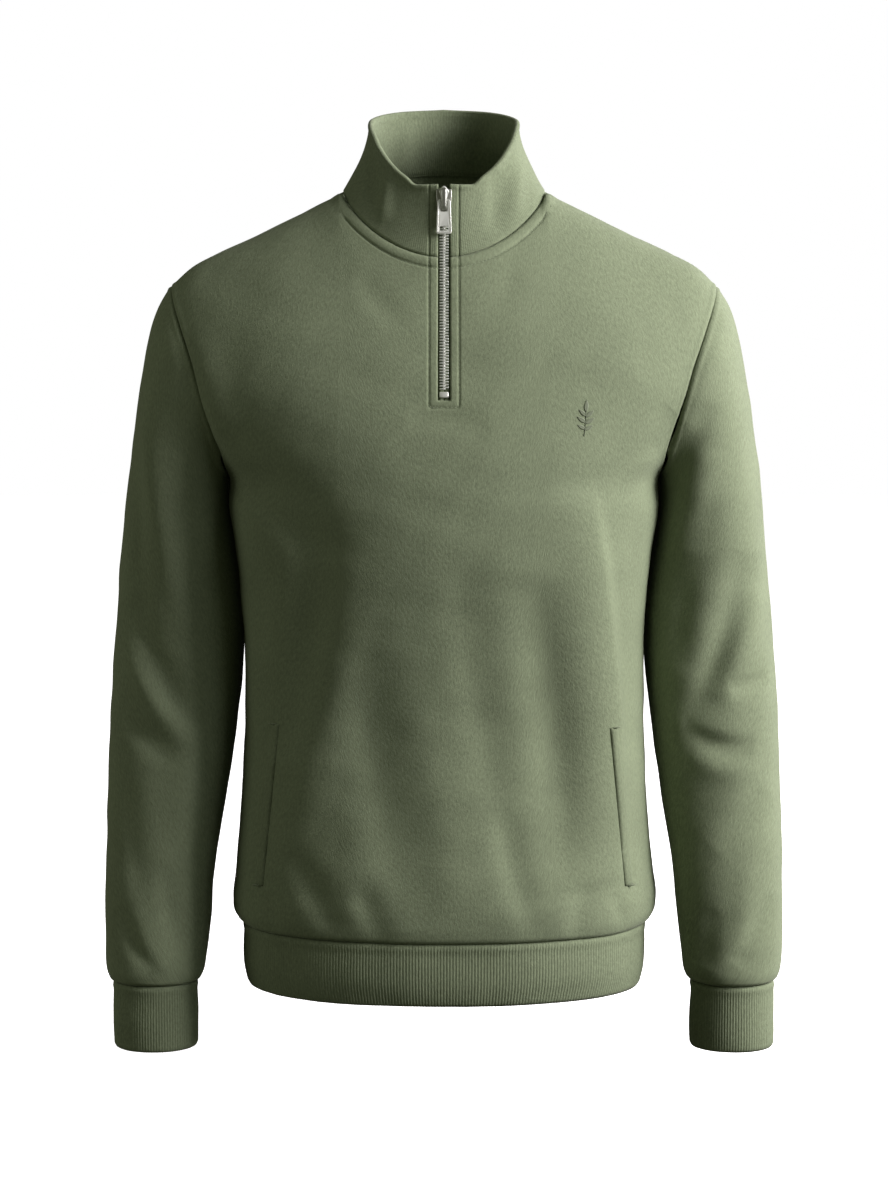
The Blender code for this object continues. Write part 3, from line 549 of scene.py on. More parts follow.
def groove(distance):
    """The dip that a row of topstitching pulls in the cloth."""
    return -STITCH_DIP * bell(distance, STITCH_DIP_WIDTH)


def wander(points, scale, seed):
    """Slow unevenness from a few sine waves, between about -1 and 1."""
    spin = np.random.default_rng(seed)
    total = np.zeros(points.shape[:-1])
    for _ in range(7):
        way = spin.normal(size=3)
        way /= np.linalg.norm(way) * scale * spin.uniform(0.7, 1.5)
        total += np.sin(points @ way * 2 * math.pi + spin.uniform(0, 2 * math.pi))
    return total / 4.0


def placket_distance(points):
    """Distance from the stitched box round the zip, whose lower corners are rounded."""
    x = np.abs(points[..., 0])
    z = points[..., 2]
    side = x - PLACKET_HALF
    below = PLACKET_END_Z - z
    corner = np.hypot(np.maximum(side + PLACKET_CORNER, 0.0), np.maximum(below + PLACKET_CORNER, 0.0))
    return np.where(
        (side > -PLACKET_CORNER) & (below > -PLACKET_CORNER), corner - PLACKET_CORNER, np.maximum(side, below)
    )


def edge_thickness(distance, wall):
    """A wall that rounds off towards a folded edge."""
    share = unit(distance / (wall / 2))
    return wall * np.sqrt(np.clip(1 - (1 - share) ** 2, 0.02, 1.0))


# ---------------------------------------------------------------- meshes


def linked(name, data):
    """A new object with this data, in the scene."""
    obj = bpy.data.objects.new(name, data)
    bpy.context.scene.collection.objects.link(obj)
    return obj


def finish_mesh(name, vertices, faces, material):
    mesh = bpy.data.meshes.new(name)
    mesh.from_pydata([tuple(point) for point in vertices * MM], [], faces)
    mesh.materials.append(material)
    mesh.polygons.foreach_set("use_smooth", np.ones(len(mesh.polygons), bool))
    mesh.update()
    return linked(name, mesh)


def wall_mesh(name, grid, normals, wall, closed, turned, material, missing=None, lengths=None):
    """A closed cloth wall: an outer grid, its inner copy and a rim.

    The cloth's own lengths go in a UV map whose unit is 100 mm.
    """
    rows, columns = grid.shape[:2]
    thickness = np.broadcast_to(np.asarray(wall, float), grid.shape[:2])
    outer = grid.reshape(-1, 3)
    inner = outer - normals.reshape(-1, 3) * thickness.reshape(-1, 1)
    row = np.arange(rows - 1)[:, None]
    column = np.arange(columns if closed else columns - 1)[None, :]
    after = (column + 1) % columns
    first = row * columns
    below = first + columns
    corners = np.stack([first + column, first + after, below + after, below + column], axis=-1)
    if missing is not None:
        corners = corners[~missing]
    corners = corners.reshape(-1, 4)
    if turned < 0:
        corners = corners[:, ::-1]
    total = rows * columns
    starts = corners.reshape(-1)
    ends = np.roll(corners, -1, axis=1).reshape(-1)
    forward = starts.astype(np.int64) * total + ends
    backward = ends.astype(np.int64) * total + starts
    open_sides = ~np.isin(forward, backward)
    start, end = starts[open_sides], ends[open_sides]
    rim = np.stack([start, end, end + total, start + total], axis=-1)
    faces = np.concatenate([corners[:, ::-1], corners + total, rim])
    used = np.unique(faces)
    place = np.full(2 * total, -1)
    place[used] = np.arange(len(used))
    vertices = np.concatenate([outer, inner])[used]
    obj = finish_mesh(name, vertices, place[faces].tolist(), material)
    if lengths is not None:
        layer = obj.data.uv_layers.new(name="cut")
        flat = np.concatenate([lengths.reshape(-1, 2)] * 2)[used] * MM * 10
        loops = np.empty(len(obj.data.loops), np.int32)
        obj.data.loops.foreach_get("vertex_index", loops)
        layer.data.foreach_set("uv", flat[loops].astype(np.float32).reshape(-1))
    return obj


def cut_lengths(grid, middle_column):
    """Lengths across and down the cloth at each grid point, measured from a column and the top row."""
    across = np.linalg.norm(np.diff(grid, axis=1), axis=-1)
    across = np.concatenate([np.zeros((len(grid), 1)), np.cumsum(across, axis=1)], axis=1)
    across -= across[:, middle_column : middle_column + 1]
    down = np.linalg.norm(np.diff(grid, axis=0), axis=-1)
    down = np.concatenate([np.zeros((1, grid.shape[1])), np.cumsum(down, axis=0)], axis=0)
    return np.stack([across, -down], axis=-1)


def area_of(grid, closed, missing=None):
    """Flat area of a grid's cells, in square metres."""
    after = np.roll(grid, -1, axis=1) if closed else grid[:, 1:]
    before = grid if closed else grid[:, :-1]
    one = np.cross(after[:-1] - before[:-1], before[1:] - before[:-1])
    two = np.cross(after[1:] - after[:-1], after[1:] - before[1:])
    cells = (np.linalg.norm(one, axis=-1) + np.linalg.norm(two, axis=-1)) / 2
    if missing is not None:
        cells = np.where(missing, 0.0, cells)
    return float(cells.sum()) * MM * MM


def cloth(name, grid, normals, lift, wall, closed, turned, material, middle=0, missing=None):
    """A piece's mesh and flat area from its form, the lift above that and its wall."""
    raised = grid + normals * lift[..., None]
    lengths = cut_lengths(grid, middle)
    obj = wall_mesh(name, raised, normals, wall, closed, turned, material, missing, lengths)
    return obj, area_of(grid, closed, missing)


# ---------------------------------------------------------------- finishes


class Value:
    """A socket in a finish, so that its sums read as plain sums."""

    def __init__(self, graph, socket):
        self.graph = graph
        self.socket = socket

    def maths(self, operation, first, second):
        return self.graph.add("ShaderNodeMath", {"operation": operation}, {0: first, 1: second})

    def __add__(self, other):
        return self.maths("ADD", self, other)

    def __mul__(self, other):
        return self.maths("MULTIPLY", self, other)

    def __sub__(self, other):
        return self.maths("SUBTRACT", self, other)

    __radd__ = __add__
    __rmul__ = __mul__


class Finish:
    """A finish on a Principled BSDF, with its uniform values on the shader's own sockets."""

    def __init__(self, name, **values):
        self.material = bpy.data.materials.new(name)
        self.material.use_nodes = True
        self.tree = self.material.node_tree
        self.shader = self.tree.nodes["Principled BSDF"]
        for key, value in values.items():
            self.shader.inputs[key.replace("_", " ")].default_value = value

    def add(self, kind, settings, inputs, output=0):
        node = self.tree.nodes.new(kind)
        for key, value in settings.items():
            setattr(node, key, value)
        for key, value in inputs.items():
            self.give(node.inputs[key], value)
        return Value(self, node.outputs[output])

    def give(self, socket, value):
        if isinstance(value, Value):
            self.tree.links.new(value.socket, socket)
        else:
            socket.default_value = value

    def wear(self, name, value):
        self.give(self.shader.inputs[name], value)

    def noise(self, place, scale, detail=2.0, roughness=0.5):
        sizes = {"Vector": place, "Scale": scale, "Detail": detail, "Roughness": roughness}
        return self.add("ShaderNodeTexNoise", {}, sizes)

    def stretch(self, place, sizes):
        return self.add("ShaderNodeVectorMath", {"operation": "MULTIPLY"}, {0: place, 1: sizes})

    def blend(self, share, first, second):
        """A colour between two others."""
        return self.add("ShaderNodeMix", {"data_type": "RGBA"}, {0: share, 6: first, 7: second}, 2)

    def rough_up(self, height, distance, strength=1.0, under=None):
        inputs = {"Height": height, "Distance": distance, "Strength": strength}
        if under is not None:
            inputs["Normal"] = under
        return self.add("ShaderNodeBump", {}, inputs)


def tint(colour, share):
    return (*[channel * share for channel in colour], 1.0)


def knit_finish(name, colour, nap, ribbed):
    """Brushed jersey or rib: a fuzzy nap over faint wales, with slow changes of tone."""
    finish = Finish(name, Roughness=0.92, Specular_IOR_Level=0.22, Sheen_Weight=nap, Sheen_Roughness=0.45)
    finish.shader.inputs["Sheen Tint"].default_value = (*[0.35 + channel for channel in colour], 1.0)
    place = finish.add("ShaderNodeUVMap", {"uv_map": "cut"}, {})
    lint = finish.noise(finish.stretch(place, (1.0, 0.42, 1.0)), 95.0, 3.0, 0.62)
    fuzz = finish.noise(place, 210.0, 2.0)
    cloudy = finish.noise(finish.stretch(place, (1.0, 0.7, 1.0)), 2.6, 3.0)
    fleck = finish.noise(finish.stretch(place, (1.0, 0.6, 1.0)), 44.0, 4.0, 0.72)
    kind = {"wave_type": "BANDS", "bands_direction": "X", "wave_profile": "SIN"}
    pitch = 26.0 if ribbed else 29.0
    look = {"Vector": place, "Scale": pitch, "Distortion": 1.4, "Detail": 2.0, "Detail Scale": 3.0}
    wales = finish.add("ShaderNodeTexWave", kind, look)
    shade = 0.44 * cloudy + 0.34 * lint + 0.02 * wales + 0.08 * fuzz + 2.2 * (fleck - 0.5) + 0.07
    finish.wear("Base Color", finish.blend(shade, tint(colour, 0.78), tint(colour, 1.26)))
    finish.wear("Roughness", 0.84 + 0.14 * lint)
    weave = finish.rough_up(0.06 * wales + 0.4 * lint + 0.9 * fleck, 0.00050, 0.7)
    finish.wear("Normal", finish.rough_up(fuzz, 0.00016, 0.5, weave))
    return finish.material


def metal_finish(name, colour, roughness, metal):
    finish = Finish(name, Metallic=metal, Base_Color=(*colour, 1.0))
    place = finish.add("ShaderNodeTexCoord", {}, {}, 3)
    smear = finish.noise(place, 420.0, 3.0)
    finish.wear("Roughness", roughness - 0.06 + 0.14 * smear)
    finish.wear("Normal", finish.rough_up(smear, 0.00004, 0.4))
    return finish.material


def thread_finish(name, colour):
    finish = Finish(name, Specular_IOR_Level=0.35, Sheen_Weight=0.15)
    place = finish.add("ShaderNodeTexCoord", {}, {}, 3)
    twist = finish.noise(finish.stretch(place, (1.0, 1.0, 0.6)), 2400.0, 1.0)
    finish.wear("Base Color", finish.blend(twist, tint(colour, 0.82), tint(colour, 1.18)))
    finish.wear("Roughness", 0.52 + 0.2 * twist)
    return finish.material


SAGE = (0.170, 0.203, 0.123)
JERSEY = knit_finish("brushed_jersey", SAGE, 0.2, False)
RIB = knit_finish("rib_knit", tint(SAGE, 0.95)[:3], 0.18, True)
COLLAR_KNIT = knit_finish("collar_rib_knit", tint(SAGE, 0.95)[:3], 0.18, True)
TAPE = knit_finish("woven_tape", tint(SAGE, 0.85)[:3], 0.05, True)
THREAD = thread_finish("sage_thread", tint(SAGE, 1.02)[:3])
SPRIG_THREAD = thread_finish("leaf_thread", tint(SAGE, 0.74)[:3])
NICKEL = metal_finish("bright_nickel", (0.84, 0.86, 0.79), 0.30, 0.6)
SATIN = metal_finish("satin_nickel", (0.50, 0.51, 0.46), 0.34, 0.95)
PLAIN = metal_finish("plain_nickel", (0.64, 0.66, 0.60), 0.5, 0.3)

# ---------------------------------------------------------------- seams as lines


def curve_along_x(face, start, end, share=0.0):
    return panel(face, np.linspace(start, end, 500), [share])[0]


def neck_arc(face, start, end):
    """Neck seam points between two half widths, closely spaced round the curve."""
    turns = np.linspace(math.asin(start / NECK_HALF), math.asin(end / NECK_HALF), 260)
    x = NECK_HALF * np.sin(turns)
    y, z = top_edge(face, x)
    return np.stack([x, y, z], axis=-1)


def whole_neck():
    """The neck seam from one zip edge round the back to the other."""
    left = neck_arc(FRONT, -SLIT_HALF, -NECK_HALF)
    right = neck_arc(FRONT, NECK_HALF, SLIT_HALF)
    return np.concatenate([left, neck_arc(BACK, -NECK_HALF, NECK_HALF)[1:-1], right])


def side_seam(side):
    return panel(FRONT, [side * SHOULDER_HALF], np.linspace(UNDERARM_SHARE, 1.0, 420))[:, 0]


def hem_seam():
    front = curve_along_x(FRONT, -SHOULDER_HALF, SHOULDER_HALF, 1.0)
    back = curve_along_x(BACK, SHOULDER_HALF, -SHOULDER_HALF, 1.0)
    return np.concatenate([front, back[1:-1]])


# ---------------------------------------------------------------- cloth

# Slow unevenness: its height, its two lengths of wave with their seeds, and the finer one's share.
SETTLE = 0.7
LONG_WAVE = (78.0, 4)
SHORT_WAVE = (27.0, 9)
SHORT_SHARE = 0.35
CREASES = BODY_CREASES + LEFT_SLEEVE_CREASES + RIGHT_SLEEVE_CREASES


def unevenness(points):
    """The slow unevenness that all sewn pieces share."""
    return SETTLE * wander(points, *LONG_WAVE) + SHORT_SHARE * SETTLE * wander(points, *SHORT_WAVE)


def build_panel(name, face):
    halves = spread(ACROSS_HALF)
    across = np.concatenate([-halves[:0:-1], halves])
    shares = spread(DOWN_PANEL)
    turned = -face
    grid = panel(face, across, shares)
    normals = normals_of(grid, False, turned)
    neck = distance_to(grid, neck_arc(face, -NECK_HALF, NECK_HALF))
    lift = crease_height(grid, normals, CREASES) + unevenness(grid) * unit(neck / NECK_CALM)
    lift += roll_height(neck, NECK_ROLL) + groove(neck - NECK_STITCH)
    lift += NECK_BAND_SWELL * np.sin(math.pi * unit(neck / NECK_STITCH))
    for side in (-1.0, 1.0):
        shoulder = curve_along_x(FRONT, side * NECK_HALF, side * SHOULDER_HALF)
        lift += seam_roll(grid, shoulder, SHOULDER_ROLL)
        lift += seam_roll(grid, armhole_ring(side, ARMHOLE_POINTS), ARMHOLE_ROLL)
        lift += seam_roll(grid, side_seam(side), SIDE_ROLL)
    lift += seam_roll(grid, hem_seam(), HEM_ROLL)
    missing = None
    thickness = np.full(grid.shape[:2], CLOTH_WALL)
    if face == FRONT:
        lift += groove(placket_distance(grid))
        for side in (-1.0, 1.0):
            for edge in (-WELT_GROOVE, WELT_GROOVE):
                lift += groove(distance_to(grid, dense(welt_edge(side, edge))))
        beside = np.abs(across)[None, :] - SLIT_HALF
        below = (shares[:, None] - SLIT_SHARE) * -HEM_SEAM_Z
        slit = np.hypot(np.maximum(beside, 0.0), np.maximum(below, 0.0))
        thickness = edge_thickness(slit, CLOTH_WALL)
        lift -= (CLOTH_WALL - thickness) / 2
        centres = (across[1:] + across[:-1]) / 2
        levels = (shares[1:] + shares[:-1]) / 2
        missing = (np.abs(centres)[None, :] < SLIT_HALF) & (levels[:, None] < SLIT_SHARE)
    middle = len(across) // 2
    obj, area = cloth(name, grid, normals, lift, thickness, False, turned, JERSEY, middle, missing)
    return obj, area, level_line(grid + normals * lift[..., None], neck, NECK_STITCH)


def welt_edge(side, edge):
    """A line on the front beside the pocket opening."""
    across = np.linspace(side * WELT_TOP[0] + edge, side * WELT_BOTTOM[0] + edge, WELT_EDGE_POINTS)
    down = np.linspace(WELT_TOP[1], WELT_BOTTOM[1], WELT_EDGE_POINTS)
    return np.array([[x, form_y(FRONT, x, z), z] for x, z in zip(across, down)])


def level_line(grid, distance, level):
    """Points where a distance first passes a level going down each column."""
    points = []
    for column in range(grid.shape[1]):
        if distance[0, column] >= level:
            continue
        row = int(np.argmax(distance[:, column] >= level))
        before, after = distance[row - 1, column], distance[row, column]
        share = (level - before) / (after - before)
        points.append(grid[row - 1, column] * (1 - share) + grid[row, column] * share)
    return np.array(points)


def build_sleeve(name, side):
    steps = spread(DOWN_SLEEVE)
    turned = -side
    grid = sleeve(side, SLEEVE_COLUMNS, steps)
    normals = normals_of(grid, True, turned)
    lift = crease_height(grid, normals, CREASES) + unevenness(grid)
    lift += seam_roll(grid, armhole_ring(side, ARMHOLE_POINTS), ARMHOLE_ROLL)
    lift += seam_roll(grid, grid[-1], CUFF_ROLL)
    lift += seam_roll(grid, grid[:, SLEEVE_COLUMNS // 2], SIDE_ROLL)
    return cloth(name, grid, normals, lift, CLOTH_WALL, True, turned, JERSEY)


def rib_profile(count):
    """Knit ribs round a band: broad rounded wales with narrow furrows between them."""
    return np.tile([0.45, 1.0, 0.45, -1.0], count // RIB_SAMPLES)


def build_band(name, seam, table, pitch, rib, roll, rows, turned):
    _, around = even_ring(seam, 2)
    count = round(around / pitch) * RIB_SAMPLES
    ring, _ = even_ring(seam, count)
    drops = np.linspace(0.0, 1.0, rows)
    grid = band(ring, table, rows)
    normals = normals_of(grid, True, turned)
    depth = table[-1].drop
    from_seam = drops[:, None] * depth
    from_edge = depth - from_seam
    ribs = rib * rib_profile(count)[None, :] * np.clip(from_seam / RIB_START, 0.25, 1.0)
    lift = unevenness(grid) + ribs
    swell = BAND_SWELL * np.sin(math.pi * drops[:, None])
    lift += roll_height(np.broadcast_to(from_seam, lift.shape), roll) + swell
    lift += crease_height(grid, normals, CREASES)
    thickness = edge_thickness(from_edge, RIB_WALL) * np.ones_like(lift)
    lift -= (RIB_WALL - thickness) / 2
    return cloth(name, grid, normals, lift, thickness, True, turned, RIB)


def build_collar():
    seam_line = whole_neck()
    _, around = even_ring(seam_line, 2, closed=False)
    count = round(around / COLLAR_RIB_PITCH) * RIB_SAMPLES
    seam, _ = even_ring(seam_line, count, closed=False)
    grid = collar(seam, spread(DOWN_COLLAR))
    normals = normals_of(grid, False, -1)
    down = np.linalg.norm(np.diff(grid, axis=0), axis=-1)
    from_top = np.concatenate([np.zeros((1, count)), np.cumsum(down, axis=0)])
    from_seam = from_top[-1] - from_top
    along = np.arange(count) * around / count
    from_slit = np.minimum(along, along[::-1])[None, :]
    edge = COLLAR_WALL / 2
    corner = edge - np.hypot(np.maximum(edge - from_top, 0.0), np.maximum(edge - from_slit, 0.0))
    thickness = edge_thickness(np.maximum(corner, 0.0), COLLAR_WALL)
    lift = crease_height(grid, normals, COLLAR_CREASES) + COLLAR_RIB * rib_profile(count)[None, :]
    lift += groove(placket_distance(grid)) * (grid[..., 1] < 0.0) - (COLLAR_WALL - thickness) / 2
    free = unit(from_seam / COLLAR_CALM)
    lift += roll_height(from_seam, NECK_ROLL) + COLLAR_SETTLE * wander(grid, *COLLAR_WAVE) * free
    pinched = PINCH * bell(from_seam, PINCH_WIDTH)
    fold = FOLD_FULL * bell(from_top - FOLD_FULL_AT, FOLD_FULL_WIDTH)
    thickness = thickness * (1 - pinched + fold)
    lift += FOLD_SWELL * bell(from_top - FOLD_SWELL_AT, FOLD_SWELL_WIDTH)
    middle = count // 2
    return cloth("collar_knit", grid, normals, lift, thickness, False, -1, COLLAR_KNIT, middle)


# ---------------------------------------------------------------- things laid on the cloth


def surface_of(obj):
    return BVHTree.FromObject(obj, bpy.context.evaluated_depsgraph_get())


def laid(tree, x, z):
    """The point and outward normal where a line from the front meets a surface."""
    place, normal, _, _ = tree.ray_cast((x * MM, -1.0, z * MM), (0.0, 1.0, 0.0))
    if place is None:
        return None
    return np.array(place) / MM, np.array(normal)


def gather(name, parts, material):
    """One object from several (points, faces) parts."""
    points = []
    faces = []
    for part_points, part_faces in parts:
        start = sum(len(group) for group in points)
        points.append(part_points)
        faces += [tuple(index + start for index in face) for face in part_faces]
    return finish_mesh(name, np.concatenate(points), faces, material)


CAPSULE_PLACES = [-1.0, -0.82, 0.0, 0.82, 1.0]
CAPSULE_GIRTHS = [0.3, 0.85, 1.0, 0.85, 0.3]
CAPSULE_SIDES = 6


def capsule(centre, along, outward, length, radius):
    """A short thread lying along the cloth."""
    along = along / np.linalg.norm(along)
    across = np.cross(along, outward)
    across /= np.linalg.norm(across)
    up = np.cross(across, along)
    turns = 2 * math.pi * np.arange(CAPSULE_SIDES) / CAPSULE_SIDES
    ring = np.cos(turns)[:, None] * across + np.sin(turns)[:, None] * up
    points = []
    for place, girth in zip(CAPSULE_PLACES, CAPSULE_GIRTHS):
        bend = up * radius * (0.4 - place * place)
        points.append(centre + along * place * length / 2 + bend + ring * radius * girth)
    faces = [tuple(range(CAPSULE_SIDES))]
    for level in range(len(CAPSULE_PLACES) - 1):
        for index in range(CAPSULE_SIDES):
            after = (index + 1) % CAPSULE_SIDES
            low = level * CAPSULE_SIDES
            high = low + CAPSULE_SIDES
            faces.append((low + index, high + index, high + after, low + after))
    last = (len(CAPSULE_PLACES) - 1) * CAPSULE_SIDES
    faces.append(tuple(last + index for index in reversed(range(CAPSULE_SIDES))))
    return np.concatenate(points), faces


def stitch_line(tree, points):
    """Threads end to end along a line of surface points."""
    _, length = even_ring(points, 2, closed=False)
    line = even_ring(points, max(2, round(length / STITCH_PITCH)), closed=False)[0]
    parts = []
    for before, after in zip(line[:-1], line[1:]):
        middle = (before + after) / 2
        place, normal, _, _ = tree.find_nearest(Vector(middle * MM))
        centre = np.array(place) / MM + np.array(normal) * STITCH_RADIUS * 0.5
        parts.append(capsule(centre, after - before, np.array(normal), STITCH_LENGTH, STITCH_RADIUS))
    return parts


def flat_line(tree, corners, spacing=1.0):
    """Surface points along a line of corners seen from the front."""
    found = []
    for start, end in zip(corners[:-1], corners[1:]):
        steps = max(2, int(math.dist(start, end) / spacing))
        for share in np.linspace(0.0, 1.0, steps, endpoint=False):
            x, z = (first + (last - first) * share for first, last in zip(start, end))
            hit = laid(tree, x, z)
            if hit is not None:
                found.append(hit[0])
    return np.array(found)


def placket_corners(top):
    """Half of the stitched box round the zip, from its top down a side and round to the middle."""
    inner = PLACKET_HALF - PLACKET_CORNER
    turn = np.linspace(0.0, math.pi / 2, 6)
    curve = []
    for step in turn:
        x = inner + PLACKET_CORNER * math.cos(step)
        curve.append((x, PLACKET_END_Z + PLACKET_CORNER * (1 - math.sin(step))))
    return [(PLACKET_HALF, top)] + curve + [(0.0, PLACKET_END_Z)]


def build_welt(name, side, tree):
    rows = []
    normals = []
    thickness = []
    shares = np.linspace(0.0, 1.0, WELT_ROWS)
    offsets = np.linspace(-1.0, 1.0, WELT_COLUMNS)
    length = math.dist(WELT_TOP, WELT_BOTTOM)
    for share in shares:
        x = side * (WELT_TOP[0] + (WELT_BOTTOM[0] - WELT_TOP[0]) * share)
        z = WELT_TOP[1] + (WELT_BOTTOM[1] - WELT_TOP[1]) * share
        hits = [laid(tree, x + offset * WELT_WIDTH / 2, z) for offset in offsets]
        normal = hits[len(hits) // 2][1]
        end = min(share, 1 - share) * length
        crown = WELT_RAISE * (1 - np.abs(offsets) ** 4) * np.clip(end / WELT_END, 0.2, 1.0) ** 0.5
        rows.append([hit[0] + normal * (WELT_OUT + rise) for hit, rise in zip(hits, crown)])
        normals.append([normal] * len(hits))
        thickness.append(np.clip(crown, *WELT_WALLS))
    grid = np.array(rows)
    lengths = cut_lengths(grid, len(offsets) // 2)
    obj = wall_mesh(name, grid, np.array(normals), np.array(thickness), False, 1, RIB, None, lengths)
    return obj, area_of(grid, False)


Leaf = namedtuple("Leaf", "x z lean length width")
SPRIG = table_of(Leaf, [
    (0, 5.2, 4, 9.6, 3.6), (0.3, 1.6, -48, 8.2, 3.3), (0.2, 1, 50, 8, 3.3), (0, -3.6, -56, 8.6, 3.5),
    (-0.2, -4.4, 58, 8.4, 3.4), (-0.5, -8.8, -62, 7.4, 3), (-0.7, -9.4, 62, 7.2, 3),
])  # fmt: skip
SPRIG_STEM = [(-1.4, -14.4), (-0.9, -10.4), (-0.4, -6.0), (0.0, -1.0), (0.1, 3.0), (0.1, 6.0)]
LEAF_ROWS = 13
LEAF_COLUMNS = 9
LEAF_WALL = 0.5
LEAF_CROWN = 0.55
LEAF_FALL = 0.35
LEAF_VEIN = 0.28
LEAF_VEIN_WIDTH = 0.16
STEM_OUT = 0.25
STEM_BEAD = (1.1, 0.34)


def wall_arrays(grid, normals, wall):
    """Points and faces of a thin closed wall over an open grid."""
    rows, columns = grid.shape[:2]
    total = rows * columns
    outer = grid.reshape(-1, 3)
    inner = outer - normals.reshape(-1, 3) * wall
    faces = []
    for row in range(rows - 1):
        for column in range(columns - 1):
            first = row * columns + column
            cell = (first, first + 1, first + columns + 1, first + columns)
            faces.append(cell[::-1])
            faces.append(tuple(index + total for index in cell))
    loop = list(range(columns))
    loop += [row * columns + columns - 1 for row in range(1, rows)]
    loop += [total - 1 - step for step in range(1, columns)]
    loop += [row * columns for row in range(rows - 2, 0, -1)]
    for start, end in zip(loop, loop[1:] + loop[:1]):
        faces.append((start, end, end + total, start + total))
    return np.concatenate([outer, inner]), faces


def build_sprig(tree):
    """A small embroidered leaf sprig on the chest, in thread of the cloth's own tone."""
    parts = []
    for leaf in SPRIG:
        lean = math.radians(leaf.lean)
        way = np.array([math.sin(lean), math.cos(lean)])
        side_way = np.array([way[1], -way[0]])
        rows = []
        normals = []
        for share in np.linspace(0.02, 0.98, LEAF_ROWS):
            half = leaf.width / 2 * math.sin(math.pi * share**0.8) ** 0.85 + 0.12
            row = []
            for offset in np.linspace(1.0, -1.0, LEAF_COLUMNS):
                flat = np.array([leaf.x, leaf.z]) + way * share * leaf.length + side_way * offset * half
                place, normal = laid(tree, SPRIG_CENTRE[0] + flat[0], SPRIG_CENTRE[1] + flat[1])
                vein = LEAF_VEIN * bell(offset, LEAF_VEIN_WIDTH)
                row.append(place + normal * (LEAF_CROWN - LEAF_FALL * offset * offset - vein))
                normals.append(normal)
            rows.append(row)
        grid = np.array(rows)
        parts.append(wall_arrays(grid, np.array(normals).reshape(grid.shape), LEAF_WALL))
    leaves = gather("leaf_sprig_leaves", parts, SPRIG_THREAD)
    stem = [(SPRIG_CENTRE[0] + x, SPRIG_CENTRE[1] + z) for x, z in SPRIG_STEM]
    line = flat_line(tree, stem, 0.5)
    beads = []
    for before, after in zip(line[:-1], line[1:]):
        place, normal, _, _ = tree.find_nearest(Vector((before + after) / 2 * MM))
        centre = np.array(place) / MM + np.array(normal) * STEM_OUT
        beads.append(capsule(centre, after - before, np.array(normal), *STEM_BEAD))
    return leaves, gather("leaf_sprig_stem", beads, SPRIG_THREAD)


# ---------------------------------------------------------------- zip


def zip_path():
    """Heights and depths of the cloth's face down the middle of the collar and front."""
    stand = collar(whole_neck(), np.linspace(0.0, 1.0, 20))[:, 0]
    body = panel(FRONT, [SLIT_HALF], np.linspace(0.0, 0.3, 60))[:, 0]
    line = np.concatenate([stand[:-1], body])
    order = np.argsort(line[:, 2])
    return line[order, 2], line[order, 1]


PATH_HEIGHTS, PATH_DEPTHS = zip_path()


def path_point(z):
    """Depth and outward normal of the zip's path at a height."""
    places = (z, z + PATH_STEP, z - PATH_STEP)
    y, above, below = (np.interp(place, PATH_HEIGHTS, PATH_DEPTHS) for place in places)
    normal = np.array([0.0, -1.0, (above - below) / (2 * PATH_STEP)])
    return y, normal / np.linalg.norm(normal)


def path_frame(normal):
    """Ways on the zip's path: across, out of the cloth and up the zip, as rows."""
    return np.array([[1.0, 0.0, 0.0], -normal, [0.0, normal[2], -normal[1]]])


def build_tape(name, side):
    across = np.linspace(TAPE_GAP, TAPE_HALF, TAPE_COLUMNS)
    if side < 0:
        across = across[::-1]
    rows = []
    normals = []
    for z in np.linspace(TAPE_TOP_Z, TAPE_END_Z, TAPE_ROWS):
        y, normal = path_point(z)
        bead = TAPE_BEAD * bell(across - TAPE_BEAD_AT, TAPE_BEAD_WIDTH)
        sunk = TAPE_SUNK + TAPE_SET_BACK * across / TAPE_HALF - bead
        rows.append([np.array([side * x, y, z]) - normal * deep for x, deep in zip(across, sunk)])
        normals.append([normal] * len(across))
    grid = np.array(rows)
    lengths = cut_lengths(grid, len(across) // 2)
    obj = wall_mesh(name, grid, np.array(normals), TAPE_WALL, False, 1, TAPE, None, lengths)
    return obj, area_of(grid, False)


def rounded_block(sizes, bevel):
    """Points and faces of a box with softened edges."""
    shape = bmesh.new()
    bmesh.ops.create_cube(shape, size=1.0)
    bmesh.ops.scale(shape, verts=shape.verts, vec=sizes)
    look = {"segments": 2, "profile": 0.5, "affect": "EDGES", "clamp_overlap": True}
    bmesh.ops.bevel(shape, geom=list(shape.edges), offset=bevel, **look)
    shape.verts.index_update()
    points = np.array([vertex.co[:] for vertex in shape.verts])
    faces = [tuple(vertex.index for vertex in face.verts) for face in shape.faces]
    shape.free()
    return points, faces


def build_teeth():
    """Two rows of metal teeth, meshed in turn down the zip."""
    sizes = (TOOTH_REACH + TOOTH_OVERLAP, TOOTH_DEEP, TOOTH_PITCH * TOOTH_HIGH)
    points, faces = rounded_block(sizes, TOOTH_BEVEL)
    parts = []
    total = int((CHAIN_TOP_Z - CHAIN_END_Z) / (TOOTH_PITCH / 2))
    for index in range(total):
        side = -1 if index % 2 else 1
        z = CHAIN_TOP_Z - index * TOOTH_PITCH / 2
        y, normal = path_point(z)
        centre = np.array([side * (TOOTH_REACH - TOOTH_OVERLAP) / 2, y, z])
        centre = centre - normal * (CHAIN_SUNK + TOOTH_DEEP / 2)
        parts.append((centre + points @ path_frame(normal), faces))
    return gather("zip_teeth", parts, NICKEL)


